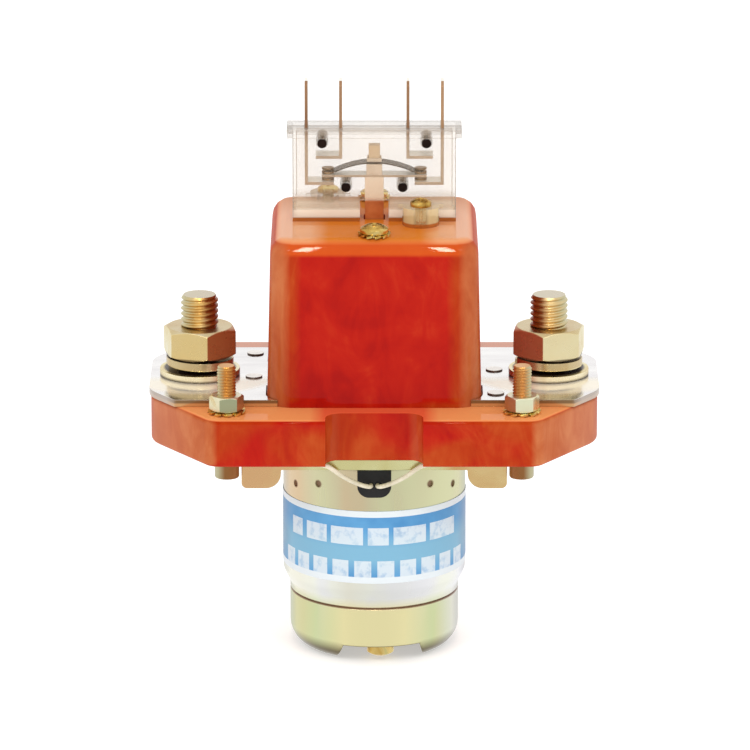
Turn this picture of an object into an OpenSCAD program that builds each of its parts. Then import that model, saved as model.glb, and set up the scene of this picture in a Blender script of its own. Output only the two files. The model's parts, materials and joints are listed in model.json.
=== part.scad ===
// DC contactor: two main studs on a moulded base, a round magnet below, a clear auxiliary switch on top
// Sizes are in millimetres. The feet of the bottom cap stand on Z = 0, and the magnet's axis is the Z axis

/* [Base flange] */
// Width of the flange over its two tips
flange_w = 118.6; // [116:0.1:126]
// Depth of the flange from front edge to rear edge
flange_d = 80; // [78:0.1:88]
// Thickness of the flange
flange_t = 12.8; // [11:0.1:18]
// Length of the straight edge at each tip
flange_tip_len = 31.4; // [26:0.1:38]
// Length of the straight front and rear edges
flange_front_len = 86.4; // [84:0.1:92]
// Corner radius at the tips
flange_tip_r = 12; // [4:0.5:14]
// Corner radius at the ends of the front and rear edges
flange_front_r = 5; // [2:0.5:8]
// Rounding of the flange's upper and lower edges
flange_edge_r = 1.2; // [0.4:0.1:2]
// Width of the recess in the front and rear edges
recess_w = 25.6; // [18:0.1:30]
// Depth of that recess
recess_d = 7.4; // [5:0.1:8]
// Corner radius inside the recess
recess_r = 4.4; // [2:0.1:4.8]

/* [Housing] */
// Width of the housing at its foot
house_w = 56.7; // [55:0.1:60]
// Depth of the housing at its foot
house_d = 55; // [53:0.1:58]
// Height of the housing above the flange
house_h = 45; // [42:0.5:55]
// Draft of each side wall over the whole height
house_draft = 0.95; // [0.2:0.05:1.5]
// Radius of the upright corners
house_corner_r = 7; // [5:0.5:9]
// Rounding where the walls meet the roof
house_roof_r = 4.5; // [1:0.5:4.5]
// Thickness of the roof and of the walls under it
house_wall = 3; // [2:0.1:4]
// Distance of the cover screws from the foot of the front and rear walls
cover_screw_edge = 7.5; // [7:0.5:9.5]
// Diameter of the columns round the cover screws
column_dia = 8.5; // [7:0.1:9]

/* [Main terminals] */
// Thickness of the terminal plates
plate_t = 1.9; // [1.2:0.1:3]
// Depth of a terminal plate from front to rear
plate_d = 53; // [40:0.5:56]
// How far a plate stands out past the flange tip
plate_lip = 0.5; // [0.1:0.1:1.5]
// Width of the tongue that enters the housing
tongue_w = 24; // [16:0.5:28]
// Gap between the housing's side wall and the tongue's upright leg
leg_gap = 2.4; // [1.5:0.1:3]
// Inner bend radius of the tongue
bend_r = 1.5; // [0.5:0.1:3]
// Diameter of the main studs, a coarse metric thread
stud_dia = 10; // [8:0.5:12]
// Distance between the two main studs
stud_pitch = 93.2; // [90:0.1:98]
// Free length of a main stud above its nut
stud_free = 8.6; // [6:0.1:16]
// Width across the flats of a main nut
nut_af = 17.6; // [16:0.1:19]
// Height of a main nut
nut_h = 8; // [5:0.1:10]
// Diameter of the flat washer under a main nut
flat_washer_dia = 21.4; // [18:0.1:24]
// Thickness of that flat washer
flat_washer_t = 1.8; // [1:0.1:3]
// Diameter of the split spring washer
split_washer_dia = 18; // [16:0.1:20]
// Thickness of the split spring washer
split_washer_t = 2.2; // [1.5:0.1:3.5]
// Rise of the split spring washer from one end to the other
split_washer_rise = 1.3; // [0.4:0.1:2]
// Diameter of the rivet heads on the terminal plates
rivet_head_dia = 4.5; // [3.5:0.1:6]

/* [Main contacts] */
// Stroke of the armature from rest to the pole
lift = 2.6; // [2:0.1:3.2]
// Air left between parts that meet at the end of the stroke
shut_gap = 0.05; // [0.02:0.01:0.1]
// Diameter of a silver contact tip
tip_dia = 10; // [6:0.5:11]
// Thickness of a silver contact tip
tip_t = 1.6; // [1:0.1:2.5]
// Distance from the end of the bridge to the edge of its tip
tip_margin = 0.5; // [0.2:0.1:1.5]
// Gap between an end of the bridge and the tongue's leg
bridge_gap = 1.6; // [1:0.1:2.2]
// Width of the moving bridge
bridge_w = 16; // [12:0.5:20]
// Thickness of the moving bridge
bridge_t = 3; // [2:0.1:4]
// Give of the bridge against its pressure spring
bridge_give = 1; // [0.5:0.1:1.5]
// Clear height between the flange and the collar that carries the pressure spring
seat_clear = 2.25; // [1:0.05:4]
// Length of the pressure spring under the bridge
pressure_spring_l = 9; // [6:0.1:10]
// Mean diameter of the pressure spring
pressure_spring_dia = 8.8; // [8:0.1:10]
// Wire diameter of the pressure spring
pressure_wire_dia = 1.2; // [0.8:0.1:1.4]

/* [Coil terminals] */
// Diameter of the coil studs, a coarse metric thread
coil_stud_dia = 5; // [4:0.1:6]
// Distance of a coil stud from the middle plane
coil_stud_x = 38.8; // [38.5:0.1:41]
// Distance of a coil stud from the front edge of the flange
coil_stud_edge = 8; // [7:0.1:10]
// Free length of a coil stud above its nut
coil_stud_free = 8; // [4:0.5:14]
// Diameter of the round head under the flange
coil_head_dia = 6.5; // [6.2:0.1:7]
// Height of that head
coil_head_h = 4; // [2:0.1:6]
// Width across the flats of a coil nut
coil_nut_af = 8; // [7:0.1:10]
// Height of a coil nut
coil_nut_h = 4; // [2.5:0.1:6]
// Diameter of the toothed washer under a coil nut
tooth_washer_dia = 10; // [9:0.1:11]
// Thickness of the toothed washers
tooth_washer_t = 0.9; // [0.5:0.1:1.2]
// Diameter of the insulated coil leads
lead_dia = 1.2; // [0.8:0.1:1.4]

/* [Magnet] */
// Gap between the yoke plate and the eyelets of the coil leads
yoke_gap = 0.2; // [0.2:0.1:3]
// Distance from the front and rear edges of the flange to the yoke plate
yoke_edge = 8; // [7.6:0.1:12]
// Thickness of the yoke plate
yoke_t = 3; // [2:0.1:4]
// Width of the lips bent down at the corners of the yoke plate
lip_w = 10.4; // [8:0.1:11]
// Height of those lips under the plate
lip_h = 5; // [3:0.1:8]
// Height of the can from the seam to the yoke plate
can_h = 41.3; // [38:0.1:50]
// Outer diameter of the can's sleeve
can_dia = 48.9; // [48.4:0.1:50]
// Step of the can's neck and of the bottom cap inside the sleeve
neck_step = 1.8; // [1.4:0.05:2.5]
// Wall thickness of the can
can_wall = 1.5; // [1:0.1:1.6]
// Straight height of the neck under the shoulder
neck_h = 1.3; // [0.5:0.1:2]
// Height of the shoulder between neck and sleeve
shoulder_h = 5; // [3:0.1:6]
// Width of the lead window in the can
window_w = 9; // [7:0.1:11]
// Height of the lead window
window_h = 7.6; // [6:0.1:9]
// Distance from the window's upper edge to the yoke plate
window_drop = 2.2; // [1.5:0.1:4]
// Height of the label round the can
label_h = 20; // [14:0.5:22]
// Distance from the label's upper edge to the yoke plate
label_drop = 13.6; // [12:0.1:15]
// Thickness of the label
label_t = 0.12; // [0.08:0.01:0.2]
// Diameter of the armature
armature_dia = 16; // [14:0.1:18]
// Length of the armature
armature_l = 26.4; // [22:0.1:28]
// Radial clearance of the armature in its guide tube
armature_gap = 0.1; // [0.05:0.01:0.1]
// Wall thickness of the guide tube
tube_wall = 0.5; // [0.3:0.1:0.8]
// Wall thickness of the coil bobbin
bobbin_wall = 1.2; // [0.8:0.1:2]
// Gap between the coil winding and the can
winding_gap = 1.95; // [1.4:0.05:5]
// Diameter of the push rod
rod_dia = 5; // [4:0.1:5.6]
// Radial clearance of the push rod in the base
rod_gap = 0.08; // [0.03:0.01:0.1]
// Mean diameter of the return spring
return_spring_dia = 7.4; // [7:0.1:8.2]
// Wire diameter of the return spring
return_wire_dia = 0.8; // [0.5:0.1:0.9]

/* [Bottom cap] */
// Height of the bottom cap from the feet to the seam
cap_h = 15.7; // [14:0.1:20]
// Rounding of the cap's lower edge
cap_r = 6.5; // [3:0.5:8]
// Turn of the cap about the axis, in degrees
cap_turn = 5.5; // [0:0.5:15]
// Height of the channel between the feet
channel_h = 4.9; // [4:0.1:7]
// Width of the channel at its ceiling
channel_top_w = 20.4; // [16:0.1:22]
// Width of the channel between the feet
channel_foot_w = 23.4; // [22:0.1:28]
// Thickness of the floor over the channel
cap_floor_t = 4; // [2:0.1:5]
// Thickness of the rubber buffer under the armature
buffer_t = 1.6; // [1:0.1:2.5]
// Distance of the bottom screws from the side of the cap
bottom_screw_edge = 5.6; // [5.2:0.05:5.8]
// Diameter of the heads of the bottom screws
bottom_head_dia = 7.2; // [6:0.1:7.4]
// Height of those heads
bottom_head_h = 3.8; // [2:0.1:4]

/* [Auxiliary switch] */
// Width of the clear box
aux_w = 43.3; // [42:0.1:46]
// Depth of the clear box
aux_d = 10; // [9:0.1:12]
// Height of the clear box
aux_h = 25; // [24.5:0.1:30]
// Width of the box over its upper rim
aux_rim_w = 46.3; // [44:0.1:48]
// Height of the upper rim
aux_rim_h = 2.3; // [2:0.1:4]
// Wall thickness of the clear box
aux_wall = 1; // [0.7:0.1:1.3]
// Width of the opening in front of the plunger
aux_gate_w = 7.6; // [6.5:0.1:9]
// Height of that opening
aux_gate_h = 5.7; // [5:0.1:8]
// Gap between the normally closed blades and the side walls of the box
nc_blade_gap = 2.25; // [1.5:0.05:3]
// Height of the blades above the clear box
blade_free = 12.5; // [8:0.5:20]
// Width of the blades from front to rear
blade_w = 6.3; // [5:0.1:7]
// Thickness of the blades
blade_t = 0.8; // [0.5:0.1:1]
// Height of the normally closed feet above the housing roof
nc_foot_z = 9.5; // [7:0.1:10]
// Distance of the small contact rivets from the normally closed blades
nc_blade_reach = 5.7; // [5.2:0.1:6]
// Distance of the small contact rivets from the normally open blades
no_blade_reach = 3.4; // [3:0.1:3.5]
// Diameter of the small contact rivets
aux_tip_dia = 3.2; // [2:0.1:3.4]
// Height of the heads of the small contact rivets
aux_tip_h = 0.55; // [0.5:0.05:0.9]
// Thickness of the moving bar
aux_bar_t = 0.6; // [0.5:0.1:1.5]
// Width of the moving bar from front to rear
aux_bar_w = 5; // [4.4:0.1:6]
// Rise of the arched leaf spring over its two ends
leaf_rise = 2.4; // [1.6:0.1:2.5]
// Thickness of the arched leaf spring
leaf_t = 0.3; // [0.2:0.05:0.4]
// Side of the square plunger
plunger_side = 5; // [4:0.1:5.4]
// Diameter of the rivets that close the box
box_rivet_dia = 2.2; // [2:0.1:2.8]
// Width of the two fixing ears
ear_dia = 9.8; // [9:0.1:12]
// Height of the fixing ears
ear_h = 5; // [3:0.1:7]

/* [Hidden] */
$fn = 64;

// Clearances, overruns of the cutters and steps of the curves
seat_gap = 0.05;
loose_gap = 0.3;
over = 1;
arc_steps = 9;
edge_steps = 4;

// Levels above the feet
z_seam = cap_h;
z_yoke = z_seam + can_h;
z_base = z_yoke + yoke_t;
z_deck = z_base + flange_t;
z_plate = z_deck + plate_t;
z_roof = z_deck + house_h;
z_ceiling = z_roof - house_wall;
z_split = z_plate + flat_washer_t;
z_nut = z_split + split_washer_t + split_washer_rise;
z_nut_top = z_nut + nut_h;

// Levels of the main contacts at rest
seat_t = 1.5;
z_seat = z_deck + seat_clear + seat_t;
z_bridge = z_seat + pressure_spring_l;
z_bridge_top = z_bridge + bridge_t;
z_bridge_tip = z_bridge_top + tip_t;
z_arm = z_bridge_tip + lift + shut_gap + tip_t;
seat_r = pressure_spring_dia / 2 + pressure_wire_dia / 2 + 0.5;
clip_t = 0.8;
clip_r = rod_dia / 2 + 2.5;

// Places of the main contacts and of the screws that hold the housing
leg_x = house_w / 2 - house_draft - house_wall - leg_gap;
bridge_l = 2 * (leg_x - plate_t - bridge_gap);
tip_x = bridge_l / 2 - tip_margin - tip_dia / 2;
cover_screw_y = house_d / 2 - cover_screw_edge;

// Levels of the magnet at rest
z_cap_floor = channel_h + cap_floor_t;
z_armature = z_cap_floor + buffer_t;
z_armature_top = z_armature + armature_l;
z_pole = z_armature_top + lift + shut_gap;
z_bobbin = z_seam + neck_h + shoulder_h;
z_window = z_yoke - window_drop - window_h / 2;
rod_socket_d = 14;
spring_cup_d = 4;
spring_bore_d = 10;
spring_bore_r = return_spring_dia / 2 + return_wire_dia / 2 + 0.4;
pole_shank_r = 6;
pole_head_r = 7.2;
pole_head_t = 1.2;
tube_r = armature_dia / 2 + armature_gap + tube_wall;
tube_seat_r = tube_r + seat_gap;
bobbin_r = tube_seat_r + bobbin_wall;
can_inner_r = can_dia / 2 - can_wall;
winding_r = can_inner_r - winding_gap;
neck_dia = can_dia - 2 * neck_step;
neck_inner_r = neck_dia / 2 - can_wall;
bottom_screw_r = neck_dia / 2 - bottom_screw_edge;

// Levels of the auxiliary switch at rest
z_nc_foot = z_roof + nc_foot_z;
z_bar_tip = z_nc_foot + blade_t + aux_tip_h + shut_gap;
z_bar = z_bar_tip + aux_tip_h;
z_bar_top = z_bar + aux_bar_t;
rivet_step_h = 0.65;
rivet_cap_h = 0.5;
rivet_neck_r = 1;
z_leaf = z_bar_top + rivet_step_h + seat_gap;
z_bar_tip_top = z_leaf + leaf_t + seat_gap + rivet_cap_h;
no_tip_h = 0.35;
z_no_foot = z_bar_tip_top + lift + shut_gap + no_tip_h;
z_leaf_top = z_leaf + leaf_rise + leaf_t;
leaf_block_w = 4.2;
leaf_collar_w = 3.9;
leaf_collar_h = 1;
z_pin_top = z_leaf_top + leaf_collar_h + 3.4;
z_aux_top = z_roof + aux_h;
aux_top_t = 1.6;
aux_floor_t = 1.2;
pin_side = plunger_side - 2;
plunger_collar_r = rod_dia / 2 + 2;
plunger_collar_h = 6.5;
plunger_socket_d = 4;
z_collar_top = z_ceiling - lift - loose_gap;
z_collar = z_collar_top - plunger_collar_h;
z_rod_top = z_collar + plunger_socket_d;
nc_blade_x = aux_w / 2 - aux_wall - blade_t / 2 - nc_blade_gap;
aux_tip_x = nc_blade_x - nc_blade_reach;
no_blade_x = aux_tip_x - no_blade_reach;
no_foot_x = nc_blade_x - blade_t / 2 - 2.1;
box_head_r = box_rivet_dia / 2 + 0.15;
box_post_r = box_rivet_dia / 2 + 0.5;
box_rivets = [[nc_blade_x - 4.2, aux_h - aux_rim_h - box_head_r - 0.15], [no_blade_x - 1.4, 9.4]];
ear_x = 12.3;

// Screws
cover_screw_dia = 4;
cover_head_dia = 7.5;
cover_head_h = 2.4;
cover_screw_grip = 9;
aux_screw_dia = 3;
aux_head_dia = 5.6;
aux_head_h = 2.1;
ear_y = aux_d / 2 + aux_head_dia / 2 + 0.15;
yoke_screw_dia = 4;
yoke_head_dia = 7;
yoke_head_h = 2.2;
yoke_screw_grip = 8;
bottom_screw_dia = 4;
rivet_shank_dia = 3;
rivet_head_h = 0.4;
rivet_grip = 6;
stud_head_h = 5;
stud_chamfer = 0.9;
coil_stud_chamfer = 0.5;
eyelet_t = 0.8;
eyelet_r = 3.6;
coil_stud_y = flange_d / 2 - coil_stud_edge;
yoke_w = 2 * (coil_stud_x - eyelet_r - yoke_gap);
yoke_d = flange_d - 2 * yoke_edge;
yoke_screw_at = [yoke_w / 2 - 8.2, yoke_d / 2 - 10];

// Direction of a corner of each main nut and of the gap in its spring washer
nut_turn = [-17, 20];
split_turn = [170, 190];

// Rivet heads on the left plate, midway between the housing and the flat washer; the right plate has
// them turned half round
plate_rivet_x = (house_w / 2 + stud_pitch / 2 - flat_washer_dia / 2) / 2;
plate_rivet_at = [[-plate_rivet_x, 20], [-plate_rivet_x, -3.4]];

// Route of the right coil lead, chosen by hand: out of the window in the can, up past the edge of the
// yoke plate, along that edge under the flange, and to the eyelet on the coil stud
lead_out = [[0.9, 2.95, -0.4], [0.9, 1.2, -0.4], [0.9, -0.5, -0.4], [1.5, -1.7, -0.2], [3.1, -2.9, 0.5]];
lead_up = [[5.2, 3, -4.2], [7.4, 1, -2.5], [9.4, -0.8, -0.7], [11.2, -1.6, 0.9], [13.2, -1.8, 1.9]];
lead_along = [[16, -1.7, -0.9], [20, -1.5, -0.9], [24, -1.5, -0.9], [28, -1.5, -0.9], [32, -1.4, -0.9]];
lead_end = [[-5, -0.9, -0.8], [-3.4, -0.5, -0.7]];
lead_route = concat([for (p = lead_out) p + [0, -can_dia / 2, z_window]],
    [for (p = lead_up) p + [0, -yoke_d / 2, z_yoke]],
    [for (p = lead_along) p + [0, -yoke_d / 2, z_base]],
    [for (p = lead_end) p + [coil_stud_x, -coil_stud_y, z_base]]);

// Unit vector along v
function unit(v) = v / norm(v);

// Centre, radius, first angle and sweep of a rounded corner in an anticlockwise outline
function corner(before, at, after, r) =
    let (u = unit(before - at), v = unit(after - at), half = acos(u * v) / 2)
    let (c = at + unit(u + v) * r / sin(half), from = at + u * r / tan(half) - c)
    [c, r, atan2(from.y, from.x), 180 - 2 * half];

// Rounded corners of an outline given by its sharp points and a radius for each
function outline(points, radii) =
    let (n = len(points))
    [for (i = [0:n - 1]) corner(points[(i + n - 1) % n], points[i], points[(i + 1) % n], radii[i])];

// Points of an outline, moved inwards by inset, at height z
function ring(corners, inset, z) =
    [for (c = corners) for (i = [0:arc_steps])
        let (a = c[2] + c[3] * i / arc_steps)
        [c[0].x + (c[1] - inset) * cos(a), c[0].y + (c[1] - inset) * sin(a), z]];

// The same points in the plane
function flat_ring(corners, inset) = [for (p = ring(corners, inset, 0)) [p.x, p.y]];

// Rounded corners of a rectangle round the origin
function rectangle(w, d, r) =
    outline([[w / 2, -d / 2], [w / 2, d / 2], [-w / 2, d / 2], [-w / 2, -d / 2]], [r, r, r, r]);

// Octagonal outline of the flange
flange_outline = outline(
    [[flange_w / 2, -flange_tip_len / 2], [flange_w / 2, flange_tip_len / 2],
     [flange_front_len / 2, flange_d / 2], [-flange_front_len / 2, flange_d / 2],
     [-flange_w / 2, flange_tip_len / 2], [-flange_w / 2, -flange_tip_len / 2],
     [-flange_front_len / 2, -flange_d / 2], [flange_front_len / 2, -flange_d / 2]],
    [flange_tip_r, flange_tip_r, flange_front_r, flange_front_r,
     flange_tip_r, flange_tip_r, flange_front_r, flange_front_r]);

// Rings of a quarter-round edge, as pairs of inset and height
function upper_edge(r) = [for (k = [0:edge_steps]) let (a = 90 * k / edge_steps) [r - r * cos(a), r * sin(a) - r]];

// Solid over rings of points that all have the same count
module loft(rings) {
    n = len(rings[0]);
    last = len(rings) - 1;
    points = [for (one = rings) for (p = one) p];
    lower = [for (k = [0:last - 1]) for (i = [0:n - 1]) [k * n + i, (k + 1) * n + i, (k + 1) * n + (i + 1) % n]];
    upper = [for (k = [0:last - 1]) for (i = [0:n - 1]) [k * n + i, (k + 1) * n + (i + 1) % n, k * n + (i + 1) % n]];
    floor_face = [for (i = [0:n - 1]) i];
    roof_face = [for (i = [0:n - 1]) last * n + n - 1 - i];
    polyhedron(points = points, faces = concat(lower, upper, [floor_face, roof_face]));
}

// Round wire along a route of points, with a ring of the given sides at each
module wire(route, r, sides) {
    last = len(route) - 1;
    loft([for (i = [0:last])
        let (t = unit(route[min(i + 1, last)] - route[max(i - 1, 0)]))
        let (u = unit(cross([0, 0, 1], t)), v = cross(t, u))
        [for (k = [0:sides - 1]) let (a = 360 * k / sides) route[i] + r * (cos(a) * u + sin(a) * v)]]);
}

// Coil spring standing on z = 0
module coil_spring(length, mean_dia, wire_dia, turns) {
    steps = 18;
    count = steps * turns;
    rise = length - wire_dia;
    wire([for (i = [0:count])
        let (a = 360 * i / steps)
        [mean_dia / 2 * cos(a), mean_dia / 2 * sin(a), wire_dia / 2 + rise * i / count]],
        wire_dia / 2, 8);
}

// Upright block with rounded corners, standing on z = 0
module rounded_block(w, d, h, r) {
    translate([-w / 2 + r, -d / 2, 0]) cube([w - 2 * r, d, h]);
    translate([-w / 2, -d / 2 + r, 0]) cube([w, d - 2 * r, h]);
    for (x = [-1, 1])
        for (y = [-1, 1])
            translate([x * (w / 2 - r), y * (d / 2 - r), 0]) cylinder(h = h, r = r);
}

// Tube standing on z = 0
module tube(outer_r, inner_r, h) {
    difference() {
        cylinder(h = h, r = outer_r);
        translate([0, 0, -over]) cylinder(h = h + 2 * over, r = inner_r);
    }
}

// Hexagon prism standing on z = 0, with a corner along +X
module hexagon(af, h) {
    cylinder(h = h, r = af / 2 / cos(30), $fn = 6);
}

// Hexagon nut with both faces chamfered, on a bore of radius bore_r
module hex_nut(af, h, bore_r) {
    face_r = af / 2 * 0.97;
    outer_r = af / 2 / cos(30) + over;
    chamfer = (outer_r - face_r) * tan(30);
    difference() {
        intersection() {
            hexagon(af, h);
            rotate_extrude()
                polygon([[0, 0], [face_r, 0], [outer_r, chamfer], [outer_r, h - chamfer], [face_r, h], [0, h]]);
        }
        translate([0, 0, -over]) cylinder(h = h + 2 * over, r = bore_r);
    }
}

// Stud from z = 0 up: a plain shank, then the free end with its chamfer
module stud(dia, shank_l, free_l, chamfer) {
    shank_r = dia / 2 - 0.4;
    cylinder(h = shank_l, r = shank_r);
    translate([0, 0, shank_l]) cylinder(h = free_l - chamfer, r = dia / 2);
    translate([0, 0, shank_l + free_l - chamfer]) cylinder(h = chamfer, r1 = dia / 2, r2 = dia / 2 - chamfer);
}

// Washer with twisted outer teeth, standing on z = 0
module toothed_washer(dia, bore_r, t, teeth) {
    root_r = dia / 2 * 0.76;
    tip_r = dia / 2;
    step = 360 / teeth;
    difference() {
        linear_extrude(height = t)
            polygon([for (i = [0:teeth - 1]) for (p = [[0.1, root_r], [0.3, tip_r], [0.72, tip_r], [0.88, root_r]])
                p[1] * [cos((i + p[0]) * step), sin((i + p[0]) * step)]]);
        translate([0, 0, -over]) cylinder(h = t + 2 * over, r = bore_r);
    }
}

// Split spring washer: one turn of a square section that rises from z = 0
module split_washer(outer_r, inner_r, t, rise) {
    open_angle = 14;
    steps = 30;
    loft([for (i = [0:steps])
        let (a = open_angle / 2 + (360 - open_angle) * i / steps, z = rise * i / steps)
        [for (p = [[inner_r, 0], [inner_r, t], [outer_r, t], [outer_r, 0]])
            [p[0] * cos(a), p[0] * sin(a), z + p[1]]]]);
}

// Pan-head screw: the head stands on z = 0, the shank reaches down, a cross is cut in the crown
module pan_screw(shank_dia, shank_l, head_dia, head_h) {
    crown_r = head_dia * 0.8;
    slot_w = shank_dia * 0.24;
    slot_l = head_dia * 0.56;
    difference() {
        union() {
            intersection() {
                cylinder(h = head_h, r = head_dia / 2);
                translate([0, 0, head_h - crown_r]) sphere(r = crown_r);
            }
            translate([0, 0, -shank_l]) cylinder(h = shank_l + head_h / 2, r = shank_dia / 2);
        }
        for (a = [0, 90])
            rotate(a) translate([-slot_l / 2, -slot_w / 2, head_h * 0.45]) cube([slot_l, slot_w, head_h]);
    }
}

// Both signs of X
module both_sides(x, y) {
    for (s = [-1, 1])
        translate([s * x, y, 0]) children();
}

// Front and rear
module both_ends(y) {
    for (s = [-1, 1])
        translate([0, s * y, 0]) children();
}

// Moulded base: octagonal flange with a recess at the front and the rear
module base_flange() {
    edge = upper_edge(flange_edge_r);
    lower_rings = [for (k = [edge_steps:-1:0]) ring(flange_outline, edge[k][0], z_base - edge[k][1])];
    upper_rings = [for (k = [0:edge_steps]) ring(flange_outline, edge[k][0], z_deck + edge[k][1])];
    color("orangered")
        difference() {
            loft(concat(lower_rings, upper_rings));
            both_ends(flange_d / 2)
                translate([0, 0, z_base - over])
                    rounded_block(recess_w, 2 * recess_d, flange_t + 2 * over, recess_r);
            both_sides(stud_pitch / 2, 0)
                translate([0, 0, z_deck - stud_head_h - seat_gap])
                    hexagon(nut_af + 2 * seat_gap, stud_head_h + over);
            both_sides(coil_stud_x, -coil_stud_y)
                translate([0, 0, z_base - over]) cylinder(h = flange_t + 2 * over, r = coil_stud_dia / 2);
            for (turn = [0, 180])
                for (p = plate_rivet_at)
                    rotate(turn)
                        translate([p.x, p.y, z_deck - rivet_grip - seat_gap])
                            cylinder(h = rivet_grip + over, r = rivet_shank_dia / 2 + seat_gap);
            both_ends(cover_screw_y)
                translate([0, 0, z_deck - cover_screw_grip - seat_gap])
                    cylinder(h = cover_screw_grip + over, r = cover_screw_dia / 2 + seat_gap);
            both_ends(yoke_screw_at.y)
                both_sides(yoke_screw_at.x, 0)
                    translate([0, 0, z_base - over])
                        cylinder(h = yoke_screw_grip + over + seat_gap, r = yoke_screw_dia / 2 + seat_gap);
            translate([0, 0, z_base - over]) cylinder(h = flange_t + 2 * over, r = rod_dia / 2 + rod_gap);
            translate([0, 0, z_base - over]) cylinder(h = pole_head_t + seat_gap + over, r = pole_head_r + seat_gap);
        }
}

// Moulded housing over the main contacts, with columns for the cover screws
module housing_cover() {
    corners = rectangle(house_w, house_d, house_corner_r);
    edge = upper_edge(house_roof_r);
    rings = [for (e = edge) ring(corners, house_draft + e[0], z_roof + e[1])];
    hole = plunger_side + 2 * loose_gap;
    cavity_w = house_w - 2 * house_draft - 2 * house_wall;
    cavity_d = house_d - 2 * house_draft - 2 * house_wall;
    color("orangered")
        difference() {
            union() {
                difference() {
                    loft(concat([ring(corners, 0, z_deck)], rings));
                    translate([0, 0, z_deck - over])
                        rounded_block(cavity_w, cavity_d, house_h - house_wall + over, house_corner_r - house_wall);
                }
                both_ends(cover_screw_y)
                    translate([0, 0, z_deck]) cylinder(h = house_h - house_wall, r = column_dia / 2);
            }
            both_sides(house_w / 2, 0)
                translate([-house_w / 4, -tongue_w / 2 - seat_gap, z_deck - over])
                    cube([house_w / 2, tongue_w + 2 * seat_gap, plate_t + seat_gap + over]);
            both_ends(cover_screw_y)
                translate([0, 0, z_deck - over])
                    cylinder(h = house_h + 2 * over, r = cover_screw_dia / 2 + seat_gap);
            translate([-hole / 2, -hole / 2, z_ceiling - over]) cube([hole, hole, house_wall + 2 * over]);
            for (s = [-1, 1])
                translate([-s * ear_x, s * ear_y, z_ceiling - over])
                    cylinder(h = house_wall + 2 * over, r = aux_screw_dia / 2 + seat_gap);
        }
}

// Two long pan-head screws that hold the housing down
module cover_screws() {
    color("goldenrod")
        both_ends(cover_screw_y)
            translate([0, 0, z_roof + tooth_washer_t])
                pan_screw(cover_screw_dia, house_h + tooth_washer_t + cover_screw_grip, cover_head_dia, cover_head_h);
}

// Toothed washers under the cover screws
module cover_lock_washers() {
    color("goldenrod")
        both_ends(cover_screw_y)
            translate([0, 0, z_roof])
                toothed_washer(cover_head_dia + 1.2, cover_screw_dia / 2 + seat_gap, tooth_washer_t, 12);
}

// Side profile of the tongue inside the housing, in the X-Z plane, for the right plate
module tongue_profile() {
    inner_x = leg_x - plate_t;
    start_x = house_w / 2 + over;
    low = z_plate + bend_r;
    high = z_arm - bend_r;
    tongue_end_x = tip_x - tip_dia / 2 - over;
    translate([leg_x + bend_r, z_deck]) square([start_x - leg_x - bend_r, plate_t]);
    translate([inner_x, low]) square([plate_t, high - low]);
    translate([tongue_end_x, z_arm]) square([inner_x - bend_r - tongue_end_x, plate_t]);
    translate([leg_x + bend_r, low])
        intersection() {
            difference() {
                circle(r = bend_r + plate_t);
                circle(r = bend_r);
            }
            translate([-bend_r - plate_t, -bend_r - plate_t]) square(bend_r + plate_t);
        }
    translate([inner_x - bend_r, high])
        intersection() {
            difference() {
                circle(r = bend_r + plate_t);
                circle(r = bend_r);
            }
            square(bend_r + plate_t);
        }
}

// Right-hand terminal plate: clipped to the flange's outline, bent up and inwards in the housing
module terminal_plate() {
    inner_x = house_w / 2 - house_corner_r;
    difference() {
        union() {
            translate([0, 0, z_deck])
                difference() {
                    linear_extrude(height = plate_t)
                        intersection() {
                            polygon(flat_ring(flange_outline, -plate_lip));
                            translate([inner_x, -plate_d / 2]) square([flange_w, plate_d]);
                        }
                    translate([0, 0, -over])
                        linear_extrude(height = plate_t + 2 * over)
                            polygon(flat_ring(rectangle(house_w, house_d, house_corner_r), -loose_gap));
                }
            translate([0, tongue_w / 2, 0])
                rotate([90, 0, 0]) linear_extrude(height = tongue_w) tongue_profile();
        }
        translate([stud_pitch / 2, 0, z_deck - over]) cylinder(h = plate_t + 2 * over, r = stud_dia / 2 + seat_gap);
        for (p = plate_rivet_at)
            translate([-p.x, -p.y, z_deck - over])
                cylinder(h = plate_t + 2 * over, r = rivet_shank_dia / 2 + seat_gap);
    }
}

// Terminal plate on the left
module terminal_plate_left() {
    color("silver") rotate(180) terminal_plate();
}

// Terminal plate on the right
module terminal_plate_right() {
    color("silver") terminal_plate();
}

// Rivets that hold the terminal plates to the flange
module plate_rivets() {
    color("silver")
        for (turn = [0, 180])
            for (p = plate_rivet_at)
                rotate(turn)
                    translate([p.x, p.y, 0]) {
                        translate([0, 0, z_deck - rivet_grip])
                            cylinder(h = rivet_grip + plate_t, r = rivet_shank_dia / 2);
                        translate([0, 0, z_plate]) cylinder(h = rivet_head_h, r = rivet_head_dia / 2);
                    }
}

// Silver tips under the arms of the terminal plates
module fixed_contact_tips() {
    color("gainsboro")
        both_sides(tip_x, 0)
            translate([0, 0, z_arm - tip_t]) cylinder(h = tip_t, r = tip_dia / 2);
}

// Main studs with hexagon heads sunk in the flange
module main_studs() {
    color("peru")
        both_sides(stud_pitch / 2, 0) {
            translate([0, 0, z_deck - stud_head_h]) hexagon(nut_af, stud_head_h);
            translate([0, 0, z_deck]) stud(stud_dia, z_nut_top - z_deck, stud_free, stud_chamfer);
        }
}

// Flat washers on the terminal plates
module main_flat_washers() {
    color("khaki")
        both_sides(stud_pitch / 2, 0)
            translate([0, 0, z_plate]) tube(flat_washer_dia / 2, stud_dia / 2 + seat_gap, flat_washer_t);
}

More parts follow.
